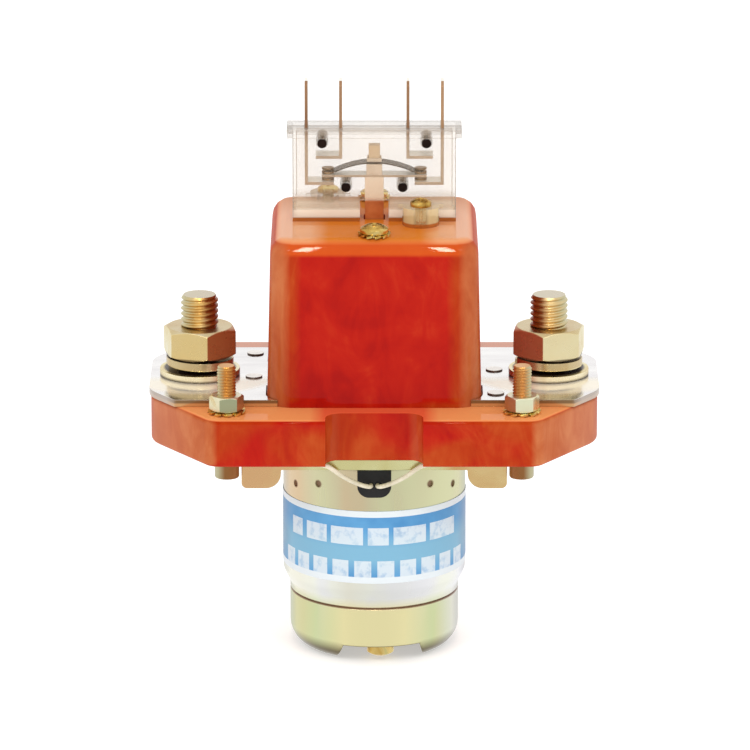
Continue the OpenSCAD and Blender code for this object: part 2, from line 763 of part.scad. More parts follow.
// Split spring washers, coiled left-handed and not pressed flat
module main_spring_washers() {
    color("khaki")
        for (i = [0, 1])
            translate([(2 * i - 1) * stud_pitch / 2, 0, z_split])
                rotate(split_turn[i])
                    mirror([0, 1, 0])
                        split_washer(split_washer_dia / 2, stud_dia / 2 + seat_gap, split_washer_t,
                            split_washer_rise);
}

// Main nuts
module main_nuts() {
    color("khaki")
        for (i = [0, 1])
            translate([(2 * i - 1) * stud_pitch / 2, 0, z_nut])
                rotate(nut_turn[i]) hex_nut(nut_af, nut_h, stud_dia / 2 - 0.4 + seat_gap);
}

// Coil studs through the front corners of the flange, with round heads below
module coil_studs() {
    shank = eyelet_t + flange_t + tooth_washer_t + coil_nut_h;
    color("peru")
        both_sides(coil_stud_x, -coil_stud_y)
            translate([0, 0, z_base - eyelet_t]) {
                translate([0, 0, -coil_head_h]) cylinder(h = coil_head_h, r = coil_head_dia / 2);
                stud(coil_stud_dia, shank, coil_stud_free, coil_stud_chamfer);
            }
}

// Toothed washers under the coil nuts
module coil_lock_washers() {
    color("goldenrod")
        both_sides(coil_stud_x, -coil_stud_y)
            translate([0, 0, z_deck])
                toothed_washer(tooth_washer_dia, coil_stud_dia / 2, tooth_washer_t, 10);
}

// Coil nuts
module coil_nuts() {
    color("khaki")
        both_sides(coil_stud_x, -coil_stud_y)
            translate([0, 0, z_deck + tooth_washer_t])
                rotate(8) hex_nut(coil_nut_af, coil_nut_h, coil_stud_dia / 2 - 0.4 + seat_gap);
}

// Steel yoke plate under the flange, with a lip bent down near each corner
module yoke_plate() {
    inner_r = min(4, lip_h - 0.5);
    outer_r = 1.5;
    lip_x = yoke_w / 2 - lip_w / 2;
    lip = concat([[lip_w / 2, yoke_t], [-lip_w / 2, yoke_t]],
        [for (i = [0:arc_steps]) let (a = 180 + 90 * i / arc_steps)
            [-lip_w / 2 + inner_r + inner_r * cos(a), -lip_h + inner_r + inner_r * sin(a)]],
        [for (i = [0:arc_steps]) let (a = 270 + 90 * i / arc_steps)
            [lip_w / 2 - outer_r + outer_r * cos(a), -lip_h + outer_r + outer_r * sin(a)]]);
    mirrored_lip = [for (i = [len(lip) - 1:-1:0]) [-lip[i].x, lip[i].y]];
    color("khaki")
        difference() {
            union() {
                translate([0, 0, z_yoke]) rounded_block(yoke_w, yoke_d, yoke_t, 2);
                both_ends(yoke_d / 2 - yoke_t / 2)
                    for (side = [-1, 1])
                        translate([side * lip_x, yoke_t / 2, z_yoke])
                            rotate([90, 0, 0])
                                linear_extrude(height = yoke_t) polygon(side > 0 ? lip : mirrored_lip);
            }
            translate([0, 0, z_yoke - over]) cylinder(h = yoke_t + 2 * over, r = pole_shank_r + seat_gap);
            both_ends(yoke_screw_at.y)
                both_sides(yoke_screw_at.x, 0)
                    translate([0, 0, z_yoke - over])
                        cylinder(h = yoke_t + 2 * over, r = yoke_screw_dia / 2 + seat_gap);
        }
}

// Four screws from below that hold the yoke plate to the flange
module yoke_screws() {
    color("khaki")
        both_ends(yoke_screw_at.y)
            both_sides(yoke_screw_at.x, 0)
                translate([0, 0, z_yoke])
                    mirror([0, 0, 1])
                        pan_screw(yoke_screw_dia, yoke_t + yoke_screw_grip, yoke_head_dia, yoke_head_h);
}

// Half of the can's wall: the radius of its outside at each level
can_curve = [for (i = [0:8])
    [(neck_dia + (can_dia - neck_dia) * (1 - cos(22.5 * i)) / 2) / 2, z_seam + neck_h + shoulder_h * i / 8]];

// Outline of the lead window, seen from the front, smaller by inset
module window_outline(inset) {
    r = 3;
    half = window_w / 2 - inset;
    top = z_yoke - window_drop - inset;
    low = z_yoke - window_drop - window_h + inset;
    translate([-half, low + r]) square([2 * half, top - low - r]);
    translate([-half + r, low]) square([2 * (half - r), r]);
    for (s = [-1, 1])
        translate([s * (half - r), low + r]) circle(r = r);
}

// Steel can: sleeve, shoulder and neck, with a lead window and staking marks
module magnet_can() {
    outer = concat([[neck_dia / 2 - 0.4, z_seam], [neck_dia / 2, z_seam + 0.4]], can_curve, [[can_dia / 2, z_yoke]]);
    inner = [for (p = can_curve) p - [can_wall, 0]];
    inside = concat([[can_inner_r, z_yoke]], [for (i = [8:-1:0]) inner[i]], [[neck_inner_r, z_seam]]);
    mark_r = 0.9;
    mark_depth = 0.4;
    marks = [[-59, 9.3], [-37.5, 7.4], [37.5, 7.4], [59, 9.3]];
    color("khaki")
        difference() {
            rotate_extrude() polygon(concat(outer, inside));
            translate([0, -neck_inner_r + 4, 0])
                rotate([90, 0, 0]) linear_extrude(height = can_dia / 2) window_outline(0);
            for (quarter = [0, 180])
                for (mark = marks)
                    rotate(quarter + mark[0])
                        translate([0, -can_dia / 2 + mark_depth, z_yoke - mark[1]])
                            rotate([90, 0, 0]) cylinder(h = over, r = mark_r);
        }
}

// Printed label wrapped round the can, with its seam at the rear
module label_band() {
    inner_r = can_dia / 2 + 0.02;
    seam_w = 1.2;
    color("steelblue")
        difference() {
            translate([0, 0, z_yoke - label_drop - label_h]) tube(inner_r + label_t, inner_r, label_h);
            translate([-seam_w / 2, inner_r - over, z_yoke - label_drop - label_h - over])
                cube([seam_w, 2 * over, label_h + 2 * over]);
        }
}

// Rubber grommet in the lead window, with a hole for each lead
module lead_grommet() {
    back_y = -can_inner_r + 1.5;
    front_y = -can_dia / 2 - 0.1;
    start = lead_route[0];
    color("black")
        difference() {
            translate([0, back_y, 0])
                rotate([90, 0, 0]) linear_extrude(height = back_y - front_y) window_outline(seat_gap);
            both_sides(start.x, 0)
                translate([0, back_y + over, start.z])
                    rotate([90, 0, 0]) cylinder(h = back_y - front_y + 2 * over, r = lead_dia / 2 + 0.15);
        }
}

// Right coil lead with the eyelet that the coil stud clamps
module coil_lead() {
    wire(lead_route, lead_dia / 2, 10);
    translate([coil_stud_x, -coil_stud_y, z_base - eyelet_t])
        tube(eyelet_r, coil_stud_dia / 2, eyelet_t);
}

// Coil lead on the left
module coil_lead_left() {
    color("linen") mirror([1, 0, 0]) coil_lead();
}

// Coil lead on the right
module coil_lead_right() {
    color("linen") coil_lead();
}

// Moulded bobbin of the coil
module coil_bobbin() {
    flange_r = can_inner_r - loose_gap;
    flange_h = 1.5;
    color("ivory")
        difference() {
            union() {
                translate([0, 0, z_bobbin]) cylinder(h = z_yoke - z_bobbin, r = bobbin_r);
                for (z = [z_bobbin, z_yoke - flange_h])
                    translate([0, 0, z]) cylinder(h = flange_h, r = flange_r);
            }
            translate([0, 0, z_bobbin - over]) cylinder(h = z_yoke - z_bobbin + 2 * over, r = tube_seat_r);
        }
}

// Copper winding on the bobbin
module coil_winding() {
    flange_h = 1.5;
    color("chocolate")
        translate([0, 0, z_bobbin + flange_h])
            tube(winding_r, bobbin_r + seat_gap, z_yoke - z_bobbin - 2 * flange_h);
}

// Brass tube that guides the armature
module guide_tube() {
    color("gold")
        translate([0, 0, z_cap_floor])
            tube(tube_r, tube_r - tube_wall, z_yoke - z_cap_floor);
}

// Fixed pole, riveted into the yoke plate, bored for the push rod and its return spring
module fixed_pole() {
    color("darkgray")
        difference() {
            union() {
                translate([0, 0, z_pole]) cylinder(h = z_yoke - z_pole, r = armature_dia / 2 + armature_gap / 2);
                translate([0, 0, z_yoke]) cylinder(h = yoke_t, r = pole_shank_r);
                translate([0, 0, z_base]) cylinder(h = pole_head_t, r = pole_head_r);
            }
            translate([0, 0, z_pole - over])
                cylinder(h = z_base + pole_head_t - z_pole + 2 * over, r = rod_dia / 2 + loose_gap);
            translate([0, 0, z_pole - over]) cylinder(h = spring_bore_d + over, r = spring_bore_r);
        }
}

// Thick steel plate in the neck of the can, which the bottom screws pull against the cap
module lower_pole_plate() {
    plate_h = z_bobbin - z_seam;
    color("darkgray")
        difference() {
            translate([0, 0, z_seam]) cylinder(h = plate_h, r = neck_inner_r - seat_gap);
            translate([0, 0, z_seam - over]) cylinder(h = plate_h + 2 * over, r = tube_seat_r);
            rotate(cap_turn)
                both_ends(bottom_screw_r)
                    translate([0, 0, z_seam - over])
                        cylinder(h = plate_h + 2 * over, r = bottom_screw_dia / 2 + seat_gap);
        }
}

// Return spring between the armature and the fixed pole
module return_spring() {
    z_low = z_armature_top - spring_cup_d;
    color("gray")
        translate([0, 0, z_low])
            coil_spring(z_pole + spring_bore_d - z_low, return_spring_dia, return_wire_dia, 8);
}

// Rubber buffer on the floor of the cap
module armature_buffer() {
    color("dimgray")
        translate([0, 0, z_cap_floor]) cylinder(h = buffer_t, r = armature_dia / 2 - 1);
}

// Bottom cap: a cup with rounded lower edge and a channel that leaves two feet
module bottom_cap() {
    outer_r = neck_dia / 2;
    steps = 8;
    seam_r = 0.4;
    profile = concat([[0, 0]],
        [for (i = [0:steps]) let (a = -90 + 90 * i / steps)
            [outer_r - cap_r + cap_r * cos(a), cap_r + cap_r * sin(a)]],
        [[outer_r, z_seam - seam_r], [outer_r - seam_r, z_seam], [0, z_seam]]);
    color("khaki")
        rotate(cap_turn)
            difference() {
                rotate_extrude() polygon(profile);
                translate([0, outer_r + over, 0])
                    rotate([90, 0, 0])
                        linear_extrude(height = 2 * outer_r + 2 * over)
                            polygon([[-channel_foot_w / 2, -over], [channel_foot_w / 2, -over],
                                [channel_foot_w / 2, 0], [channel_top_w / 2, channel_h],
                                [-channel_top_w / 2, channel_h], [-channel_foot_w / 2, 0]]);
                translate([0, 0, z_cap_floor]) cylinder(h = z_seam, r = tube_seat_r);
                both_ends(bottom_screw_r)
                    translate([0, 0, -over]) cylinder(h = z_seam + 2 * over, r = bottom_screw_dia / 2 + seat_gap);
            }
}

// Screws that hold the bottom cap, with their heads in the channel
module bottom_screws() {
    color("goldenrod")
        rotate(cap_turn)
            both_ends(bottom_screw_r)
                translate([0, 0, channel_h])
                    mirror([0, 0, 1])
                        pan_screw(bottom_screw_dia, z_bobbin - channel_h, bottom_head_dia, bottom_head_h);
}

// Armature with a socket for the push rod and a cup for the return spring
module armature_core() {
    bevel = 0.6;
    r = armature_dia / 2;
    color("darkgray")
        difference() {
            union() {
                translate([0, 0, z_armature]) cylinder(h = bevel, r1 = r - bevel, r2 = r);
                translate([0, 0, z_armature + bevel]) cylinder(h = armature_l - 2 * bevel, r = r);
                translate([0, 0, z_armature_top - bevel]) cylinder(h = bevel, r1 = r, r2 = r - bevel);
            }
            translate([0, 0, z_armature_top - rod_socket_d])
                cylinder(h = rod_socket_d + over, r = rod_dia / 2 + seat_gap / 2);
            translate([0, 0, z_armature_top - spring_cup_d]) cylinder(h = spring_cup_d + over, r = spring_bore_r);
        }
}

// Push rod with the collar that the pressure spring stands on
module push_rod() {
    z_low = z_armature_top - rod_socket_d;
    color("lightgray") {
        translate([0, 0, z_low]) cylinder(h = z_rod_top - z_low, r = rod_dia / 2);
        translate([0, 0, z_seat - seat_t]) cylinder(h = seat_t, r = seat_r);
    }
}

// Pressure spring between the rod's collar and the bridge
module pressure_spring() {
    color("gray")
        translate([0, 0, z_seat])
            coil_spring(pressure_spring_l, pressure_spring_dia, pressure_wire_dia, 4);
}

// Open clip on the rod that stops the bridge
module bridge_clip() {
    color("gray")
        translate([0, 0, z_bridge_top])
            difference() {
                tube(clip_r, rod_dia / 2 + seat_gap / 2, clip_t);
                translate([0, -rod_dia * 0.35, -over]) cube([clip_r + over, rod_dia * 0.7, clip_t + 2 * over]);
            }
}

// Copper bridge that joins the two main contacts
module bridge_bar() {
    color("chocolate")
        difference() {
            translate([0, 0, z_bridge]) rounded_block(bridge_l, bridge_w, bridge_t, 3);
            translate([0, 0, z_bridge - over]) cylinder(h = bridge_t + 2 * over, r = rod_dia / 2 + loose_gap);
        }
}

// Silver tips on the bridge
module bridge_contact_tips() {
    color("gainsboro")
        both_sides(tip_x, 0)
            translate([0, 0, z_bridge_top]) cylinder(h = tip_t, r = tip_dia / 2);
}

// Square block round the Z axis, from one level up to another
module square_post(side, from_z, to_z) {
    translate([-side / 2, -side / 2, from_z]) cube([side, side, to_z - from_z]);
}

// Plunger on the push rod: collar, square stem through the roof, and the pin that carries the bar
module aux_plunger() {
    color("sienna")
        difference() {
            union() {
                translate([0, 0, z_collar]) cylinder(h = plunger_collar_h, r = plunger_collar_r);
                square_post(plunger_side, z_collar_top - over, z_bar);
                square_post(pin_side, z_bar - over, z_pin_top);
            }
            translate([0, 0, z_collar - over])
                cylinder(h = plunger_socket_d + over, r = rod_dia / 2 + seat_gap / 2);
        }
}

// Moving bar of the auxiliary switch
module aux_moving_bar() {
    length = 2 * aux_tip_x + aux_tip_dia;
    color("goldenrod")
        difference() {
            translate([-length / 2, -aux_bar_w / 2, z_bar]) cube([length, aux_bar_w, aux_bar_t]);
            square_post(pin_side + 2 * seat_gap, z_bar - over, z_bar_top + over);
            both_sides(aux_tip_x, 0)
                translate([0, 0, z_bar - over]) cylinder(h = aux_bar_t + 2 * over, r = aux_tip_dia / 4);
        }
}

// Contact rivets at the ends of the moving bar, each with a neck that the leaf spring's fork holds
module aux_bar_rivets() {
    color("gainsboro")
        both_sides(aux_tip_x, 0) {
            translate([0, 0, z_bar_tip]) cylinder(h = z_bar - z_bar_tip, r = aux_tip_dia / 2);
            translate([0, 0, z_bar]) cylinder(h = aux_bar_t, r = aux_tip_dia / 4);
            translate([0, 0, z_bar_top]) cylinder(h = rivet_step_h, r = aux_tip_dia / 2);
            translate([0, 0, z_bar_top]) cylinder(h = z_bar_tip_top - z_bar_top, r = rivet_neck_r);
            translate([0, 0, z_bar_tip_top - rivet_cap_h]) cylinder(h = rivet_cap_h, r = aux_tip_dia / 2);
        }
}

// Arched leaf spring whose flat forked ends hold the necks of the rivets
module aux_leaf_spring() {
    half = aux_tip_x - aux_tip_dia / 2 - loose_gap;
    tab_w = aux_bar_w - 1;
    tab_end = aux_tip_x + 0.7;
    tab_l = tab_end - half + 2 * loose_gap;
    slot_r = rivet_neck_r + seat_gap;
    steps = 16;
    arch = [for (i = [0:steps]) let (x = half * (2 * i / steps - 1))
        [x, z_leaf + leaf_rise * (1 - pow(x / half, 2))]];
    back = [for (i = [steps:-1:0]) arch[i] + [0, leaf_t]];
    color("gray")
        difference() {
            union() {
                translate([0, aux_bar_w / 2, 0])
                    rotate([90, 0, 0]) linear_extrude(height = aux_bar_w) polygon(concat(arch, back));
                for (side = [-1, 1])
                    translate([side * (tab_end - tab_l / 2) - tab_l / 2, -tab_w / 2, z_leaf])
                        cube([tab_l, tab_w, leaf_t]);
            }
            square_post(pin_side + 2 * seat_gap, z_bar_top, z_leaf_top + over);
            for (side = [-1, 1])
                translate([side * aux_tip_x, 0, z_leaf - over]) {
                    cylinder(h = leaf_t + 2 * over, r = slot_r);
                    translate([(side - 1) * slot_r, -slot_r, 0])
                        cube([2 * slot_r, 2 * slot_r, leaf_t + 2 * over]);
                }
        }
}

// Block on the pin between the bar and the leaf spring, and the collar over the spring
module aux_leaf_cap() {
    block_h = z_leaf + leaf_rise - z_bar_top - 0.2;
    color("tan")
        difference() {
            union() {
                translate([-leaf_block_w / 2, -aux_bar_w / 2, z_bar_top]) cube([leaf_block_w, aux_bar_w, block_h]);
                square_post(leaf_collar_w, z_leaf_top, z_leaf_top + leaf_collar_h);
            }
            square_post(pin_side + 2 * seat_gap, z_bar_top - over, z_pin_top);
        }
}

// X places of the four blades, from left to right
blade_places = [-nc_blade_x, -no_blade_x, no_blade_x, nc_blade_x];

// Rear half of the clear box, open towards the front
module aux_half() {
    half_d = aux_d / 2;
    rim_out = (aux_rim_w - aux_w) / 2;
    difference() {
        union() {
            difference() {
                union() {
                    translate([-aux_w / 2, 0, z_roof]) cube([aux_w, half_d, aux_h]);
                    translate([-aux_rim_w / 2, 0, z_aux_top - aux_rim_h])
                        cube([aux_rim_w, half_d + rim_out / 2, aux_rim_h]);
                }
                translate([-aux_w / 2 + aux_wall, -over, z_roof + aux_floor_t])
                    cube([aux_w - 2 * aux_wall, half_d - aux_wall + over, aux_h - aux_floor_t - aux_top_t]);
            }
            for (p = box_rivets)
                both_sides(p.x, 0)
                    translate([0, half_d - aux_wall / 2, z_roof + p.y])
                        rotate([90, 0, 0]) cylinder(h = half_d - aux_wall / 2, r = box_post_r);
            translate([-ear_x, ear_y, z_roof]) cylinder(h = ear_h, r = ear_dia / 2);
            translate([-ear_x - ear_dia / 2, half_d - aux_wall / 2, z_roof])
                cube([ear_dia, ear_y - half_d + aux_wall / 2, ear_h]);
            translate([-ear_x - ear_dia / 2 - over, half_d - aux_wall, z_roof + ear_h - aux_wall])
                cube([ear_dia + 2 * over, aux_wall * 2.5, aux_wall]);
        }
        translate([-aux_gate_w / 2, -over, z_roof - over]) cube([aux_gate_w, aux_d, aux_gate_h + over]);
        for (x = blade_places)
            translate([x - blade_t / 2 - seat_gap, -over, z_aux_top - aux_top_t - over])
                cube([blade_t + 2 * seat_gap, blade_w / 2 + seat_gap + over, aux_top_t + 2 * over]);
        for (p = box_rivets)
            both_sides(p.x, 0)
                translate([0, aux_d, z_roof + p.y])
                    rotate([90, 0, 0]) cylinder(h = 2 * aux_d, r = box_rivet_dia / 2 + seat_gap);
        translate([-ear_x, ear_y, z_roof - over]) cylinder(h = ear_h + 2 * over, r = aux_screw_dia / 2 + seat_gap);
    }
}

// Front half of the clear box, with its ear on the right
module aux_front_cover() {
    color("whitesmoke", 0.5) rotate(180) aux_half();
}

// Rear half of the clear box, with its ear on the left
module aux_rear_cover() {
    color("whitesmoke", 0.5) aux_half();
}

// Black rivets that close the clear box
module aux_box_rivets() {
    head_h = 0.6;
    color("black")
        for (p = box_rivets)
            both_sides(p.x, 0)
                translate([0, 0, z_roof + p.y])
                    rotate([90, 0, 0]) {
                        translate([0, 0, -aux_d / 2]) cylinder(h = aux_d, r = box_rivet_dia / 2);
                        translate([0, 0, aux_d / 2]) cylinder(h = head_h, r = box_head_r);
                        translate([0, 0, -aux_d / 2 - head_h]) cylinder(h = head_h, r = box_head_r);
                    }
}

// Small screws through the ears into the housing roof
module aux_screws() {
    color("goldenrod")
        for (s = [-1, 1])
            translate([-s * ear_x, s * ear_y, z_roof + ear_h])
                pan_screw(aux_screw_dia, ear_h + house_wall, aux_head_dia, aux_head_h);
}

// Upright blade at x with a foot at level foot_z that reaches to foot_x
module blade(x, foot_z, foot_x) {
    low_x = min(x - blade_t / 2, foot_x);
    high_x = max(x + blade_t / 2, foot_x);
    tip_taper = 1.2;
    hole_dia = 1.6;
    hole_drop = 4;
    tab_w = blade_w / 2;
    top = z_aux_top + blade_free;
    translate([x - blade_t / 2, 0, 0])
        rotate([90, 0, 90])
            linear_extrude(height = blade_t)
                difference() {
                    polygon([[-tab_w, foot_z], [tab_w, foot_z], [tab_w, top - tip_taper],
                        [tab_w - tip_taper, top], [-tab_w + tip_taper, top], [-tab_w, top - tip_taper]]);
                    translate([0, top - hole_drop]) circle(d = hole_dia);
                }
    translate([low_x, -tab_w, foot_z]) cube([high_x - low_x, blade_w, blade_t]);
}

// Normally closed blades, with feet that reach inwards under the bar
module nc_blade_left() {
    color("tan") blade(-nc_blade_x, z_nc_foot, -aux_tip_x + aux_tip_dia / 2);
}

module nc_blade_right() {
    color("tan") blade(nc_blade_x, z_nc_foot, aux_tip_x - aux_tip_dia / 2);
}

// Normally open blades, with feet that reach outwards over the bar
module no_blade_left() {
    color("tan") blade(-no_blade_x, z_no_foot, -no_foot_x);
}

module no_blade_right() {
    color("tan") blade(no_blade_x, z_no_foot, no_foot_x);
}

// Contact rivets on the feet of the blades
module blade_contact_rivets() {
    color("gainsboro")
        both_sides(aux_tip_x, 0) {
            translate([0, 0, z_nc_foot + blade_t]) cylinder(h = aux_tip_h, r = aux_tip_dia / 2);
            translate([0, 0, z_no_foot - no_tip_h]) cylinder(h = no_tip_h, r = aux_tip_dia / 2);
        }
}

base_flange();
housing_cover();
cover_screws();
cover_lock_washers();
terminal_plate_left();
terminal_plate_right();
plate_rivets();
fixed_contact_tips();
main_studs();
main_flat_washers();
main_spring_washers();
main_nuts();
coil_studs();
coil_lock_washers();
coil_nuts();
yoke_plate();
yoke_screws();
magnet_can();
label_band();
lead_grommet();
coil_lead_left();
coil_lead_right();
coil_bobbin();
coil_winding();
guide_tube();
fixed_pole();
lower_pole_plate();
return_spring();
armature_buffer();
bottom_cap();
bottom_screws();
armature_core();
push_rod();
pressure_spring();
bridge_clip();
bridge_bar();
bridge_contact_tips();
aux_plunger();
aux_moving_bar();
aux_bar_rivets();
aux_leaf_spring();
aux_leaf_cap();
aux_front_cover();
aux_rear_cover();
aux_box_rivets();
aux_screws();
nc_blade_left();
nc_blade_right();
no_blade_left();
no_blade_right();
blade_contact_rivets();
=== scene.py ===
import json
import math

import bmesh
import bpy
from mathutils import Matrix, Vector

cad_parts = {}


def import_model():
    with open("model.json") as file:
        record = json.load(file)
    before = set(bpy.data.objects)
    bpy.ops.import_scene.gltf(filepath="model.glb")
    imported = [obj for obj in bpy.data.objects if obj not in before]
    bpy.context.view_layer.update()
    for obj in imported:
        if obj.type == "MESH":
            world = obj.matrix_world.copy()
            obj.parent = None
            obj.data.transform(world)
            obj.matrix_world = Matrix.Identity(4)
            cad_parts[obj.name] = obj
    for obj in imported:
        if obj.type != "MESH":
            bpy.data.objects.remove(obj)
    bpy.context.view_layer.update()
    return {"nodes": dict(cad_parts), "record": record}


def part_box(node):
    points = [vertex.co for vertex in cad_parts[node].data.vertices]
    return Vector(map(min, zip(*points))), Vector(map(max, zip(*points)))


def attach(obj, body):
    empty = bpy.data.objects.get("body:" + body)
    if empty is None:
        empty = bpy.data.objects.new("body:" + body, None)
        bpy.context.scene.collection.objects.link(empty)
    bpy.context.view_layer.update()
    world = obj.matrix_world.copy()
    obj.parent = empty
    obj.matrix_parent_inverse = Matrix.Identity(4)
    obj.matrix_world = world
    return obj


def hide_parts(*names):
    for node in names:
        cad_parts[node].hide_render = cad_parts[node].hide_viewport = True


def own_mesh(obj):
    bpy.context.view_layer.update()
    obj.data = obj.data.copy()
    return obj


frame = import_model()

MM = 0.001
scene = bpy.context.scene

# Axes of the studs
STUD_X = 46.6 * MM
COIL_X, COIL_Y = 38.8 * MM, -32.0 * MM
# Top of the flange and of the stud heads sunk in it, top of the main nuts, underside and top of the eyelets
HEAD_TOP = 72.8 * MM
NUT_TOP = 88.0 * MM
EYELET_LOW, EYELET_TOP = 59.2 * MM, 60.0 * MM
# Lower and upper edge of the printed band
LABEL_LOW, LABEL_HIGH = 23.4 * MM, 43.4 * MM
# Height in millimetres over which the moulding changes from the flange to the housing
FLANGE_END = (73.0, 75.0)


# ---------------------------------------------------------------- camera
def look(eye, target):
    """Rotation that turns a camera or lamp at eye towards target."""
    return (Vector(target) - Vector(eye)).to_track_quat("-Z", "Y").to_euler()


LOOK_AT = Vector((0.00019, 0.0, 0.0742))
ELEVATION = math.radians(15.5)
DISTANCE = 1.7

camera_data = bpy.data.cameras.new("camera")
camera_data.lens = 305.0
camera_data.sensor_width = 36.0
camera_data.clip_end = 50.0
camera = bpy.data.objects.new("camera", camera_data)
camera.location = LOOK_AT + DISTANCE * Vector((0.0, -math.cos(ELEVATION), math.sin(ELEVATION)))
camera.rotation_euler = look(camera.location, LOOK_AT)
scene.collection.objects.link(camera)
scene.camera = camera


# ---------------------------------------------------------------- materials
def srgb(r, g, b):
    """Linear colour of an 8-bit sRGB colour."""
    def channel(v):
        v /= 255.0
        return v / 12.92 if v <= 0.04045 else ((v + 0.055) / 1.055) ** 2.4
    return (channel(r), channel(g), channel(b), 1.0)


def fill_ramp(ramp, stops):
    """Sets a colour ramp's points to the given places and colours."""
    points = ramp.elements
    while len(points) < len(stops):
        points.new(0.5)
    for point, (at, colour) in zip(points, stops):
        point.position = at
        point.color = colour


class Graph:
    """A node material: values and links are given by the inputs' names."""

    def __init__(self, name, **shader):
        self.material = bpy.data.materials.new(name)
        self.material.use_nodes = True
        self.tree = self.material.node_tree
        self.shader = self.tree.nodes["Principled BSDF"]
        self.place = self.add("ShaderNodeTexCoord").outputs["Object"]
        for key, value in shader.items():
            self.set(key.replace("_", " "), value)

    def put(self, socket, value):
        """Links a node's output to an input, or sets the input's own value."""
        if isinstance(value, bpy.types.NodeSocket):
            self.tree.links.new(value, socket)
        else:
            socket.default_value = value

    def set(self, name, value):
        """Gives the shader's input of that name a value or a link."""
        self.put(self.shader.inputs[name], value)

    def add(self, kind, inputs=(), **settings):
        node = self.tree.nodes.new(kind)
        for key, value in settings.items():
            setattr(node, key, value)
        for key, value in dict(inputs).items():
            self.put(node.inputs[key], value)
        return node

    # Places and directions
    def xyz(self):
        return self.add("ShaderNodeSeparateXYZ", {"Vector": self.place}).outputs

    def facing(self):
        normal = self.add("ShaderNodeTexCoord").outputs["Normal"]
        return self.add("ShaderNodeSeparateXYZ", {"Vector": normal}).outputs

    def normal(self):
        """The normal, without the signs of its x and y."""
        parts = self.facing()
        return [self.absolute(parts["X"]), self.absolute(parts["Y"]), parts["Z"]]

    def inward(self):
        """How far a face of a left or right stack turns towards the middle of the object."""
        return self.times(self.facing()[0], self.math("SIGN", self.xyz()[0]), -1.0)

    def from_stud(self, x, y):
        """Distance from the axis of the main stud on the same side."""
        off = self.minus(self.absolute(x), STUD_X)
        return self.length(off, y)

    def stretched(self, x, y, z, turn=0.0):
        """The place, turned and scaled along each axis, for a noise that runs in one direction."""
        mapping = self.add("ShaderNodeMapping", {"Vector": self.place, "Scale": (x, y, z)})
        mapping.inputs["Rotation"].default_value = (turn, turn * 0.6, turn * 0.3)
        return mapping.outputs["Vector"]

    # Sums
    def math(self, operation, a, b=0.0):
        return self.add("ShaderNodeMath", {0: a, 1: b}, operation=operation).outputs["Value"]

    def absolute(self, value):
        return self.math("ABSOLUTE", value)

    def plus(self, *values):
        out = values[0]
        for value in values[1:]:
            out = self.math("ADD", out, value)
        return out

    def minus(self, a, b):
        return self.math("SUBTRACT", a, b)

    def times(self, *values):
        out = values[0]
        for value in values[1:]:
            out = self.math("MULTIPLY", out, value)
        return out

    def most(self, *values):
        out = values[0]
        for value in values[1:]:
            out = self.math("MAXIMUM", out, value)
        return out

    def length(self, a, b):
        return self.math("SQRT", self.plus(self.times(a, a), self.times(b, b)))

    # Steps from one value to another
    def scale(self, value, low, high, to_low, to_high):
        node = self.add("ShaderNodeMapRange", {"Value": value, "From Min": low, "From Max": high,
                                               "To Min": to_low, "To Max": to_high})
        return node.outputs["Result"]

    def rise(self, value, low, high, top=1.0):
        """0 up to low, growing to top at high."""
        return self.scale(value, low, high, 0.0, top)

    def fall(self, value, low, high, top=1.0):
        """top up to low, shrinking to 0 at high."""
        return self.scale(value, low, high, top, 0.0)

    def band(self, value, low, high, soft):
        """1 between low and high, falling to 0 over the width soft outside them."""
        return self.math("MINIMUM", self.rise(value, low - soft, low), self.fall(value, high, high + soft))

    def past(self, place, low, high, top=1.0):
        """rise of a place, with its bounds in millimetres."""
        return self.rise(place, low * MM, high * MM, top)

    def short_of(self, place, low, high, top=1.0):
        """fall of a place, with its bounds in millimetres."""
        return self.fall(place, low * MM, high * MM, top)

    def zone(self, place, low, high, soft):
        """band of a place, with its bounds in millimetres."""
        return self.band(place, low * MM, high * MM, soft * MM)

    # Textures and colours
    def noise(self, scale, detail=4.0, roughness=0.55, distortion=0.0, place=None):
        node = self.add("ShaderNodeTexNoise", {"Vector": place or self.place, "Scale": scale, "Detail": detail,
                                               "Roughness": roughness, "Distortion": distortion})
        return node.outputs["Fac"]

    def spread(self, noise, low=0.0, high=1.0):
        """A noise's usual range, stretched to low and high."""
        return self.scale(noise, 0.3, 0.7, low, high)

    def ramp(self, value, stops):
        node = self.add("ShaderNodeValToRGB", {"Fac": value})
        fill_ramp(node.color_ramp, stops)
        return node.outputs["Color"]

    def mix(self, factor, a, b):
        return self.add("ShaderNodeMix", {0: factor, 6: a, 7: b}, data_type="RGBA", blend_type="MIX").outputs[2]

    def bump(self, height, distance, strength=1.0):
        node = self.add("ShaderNodeBump", {"Height": height, "Distance": distance, "Strength": strength})
        self.set("Normal", node.outputs["Normal"])

    def colour(self, value):
        self.set("Base Color", value)

    def rough(self, value):
        self.set("Roughness", value)


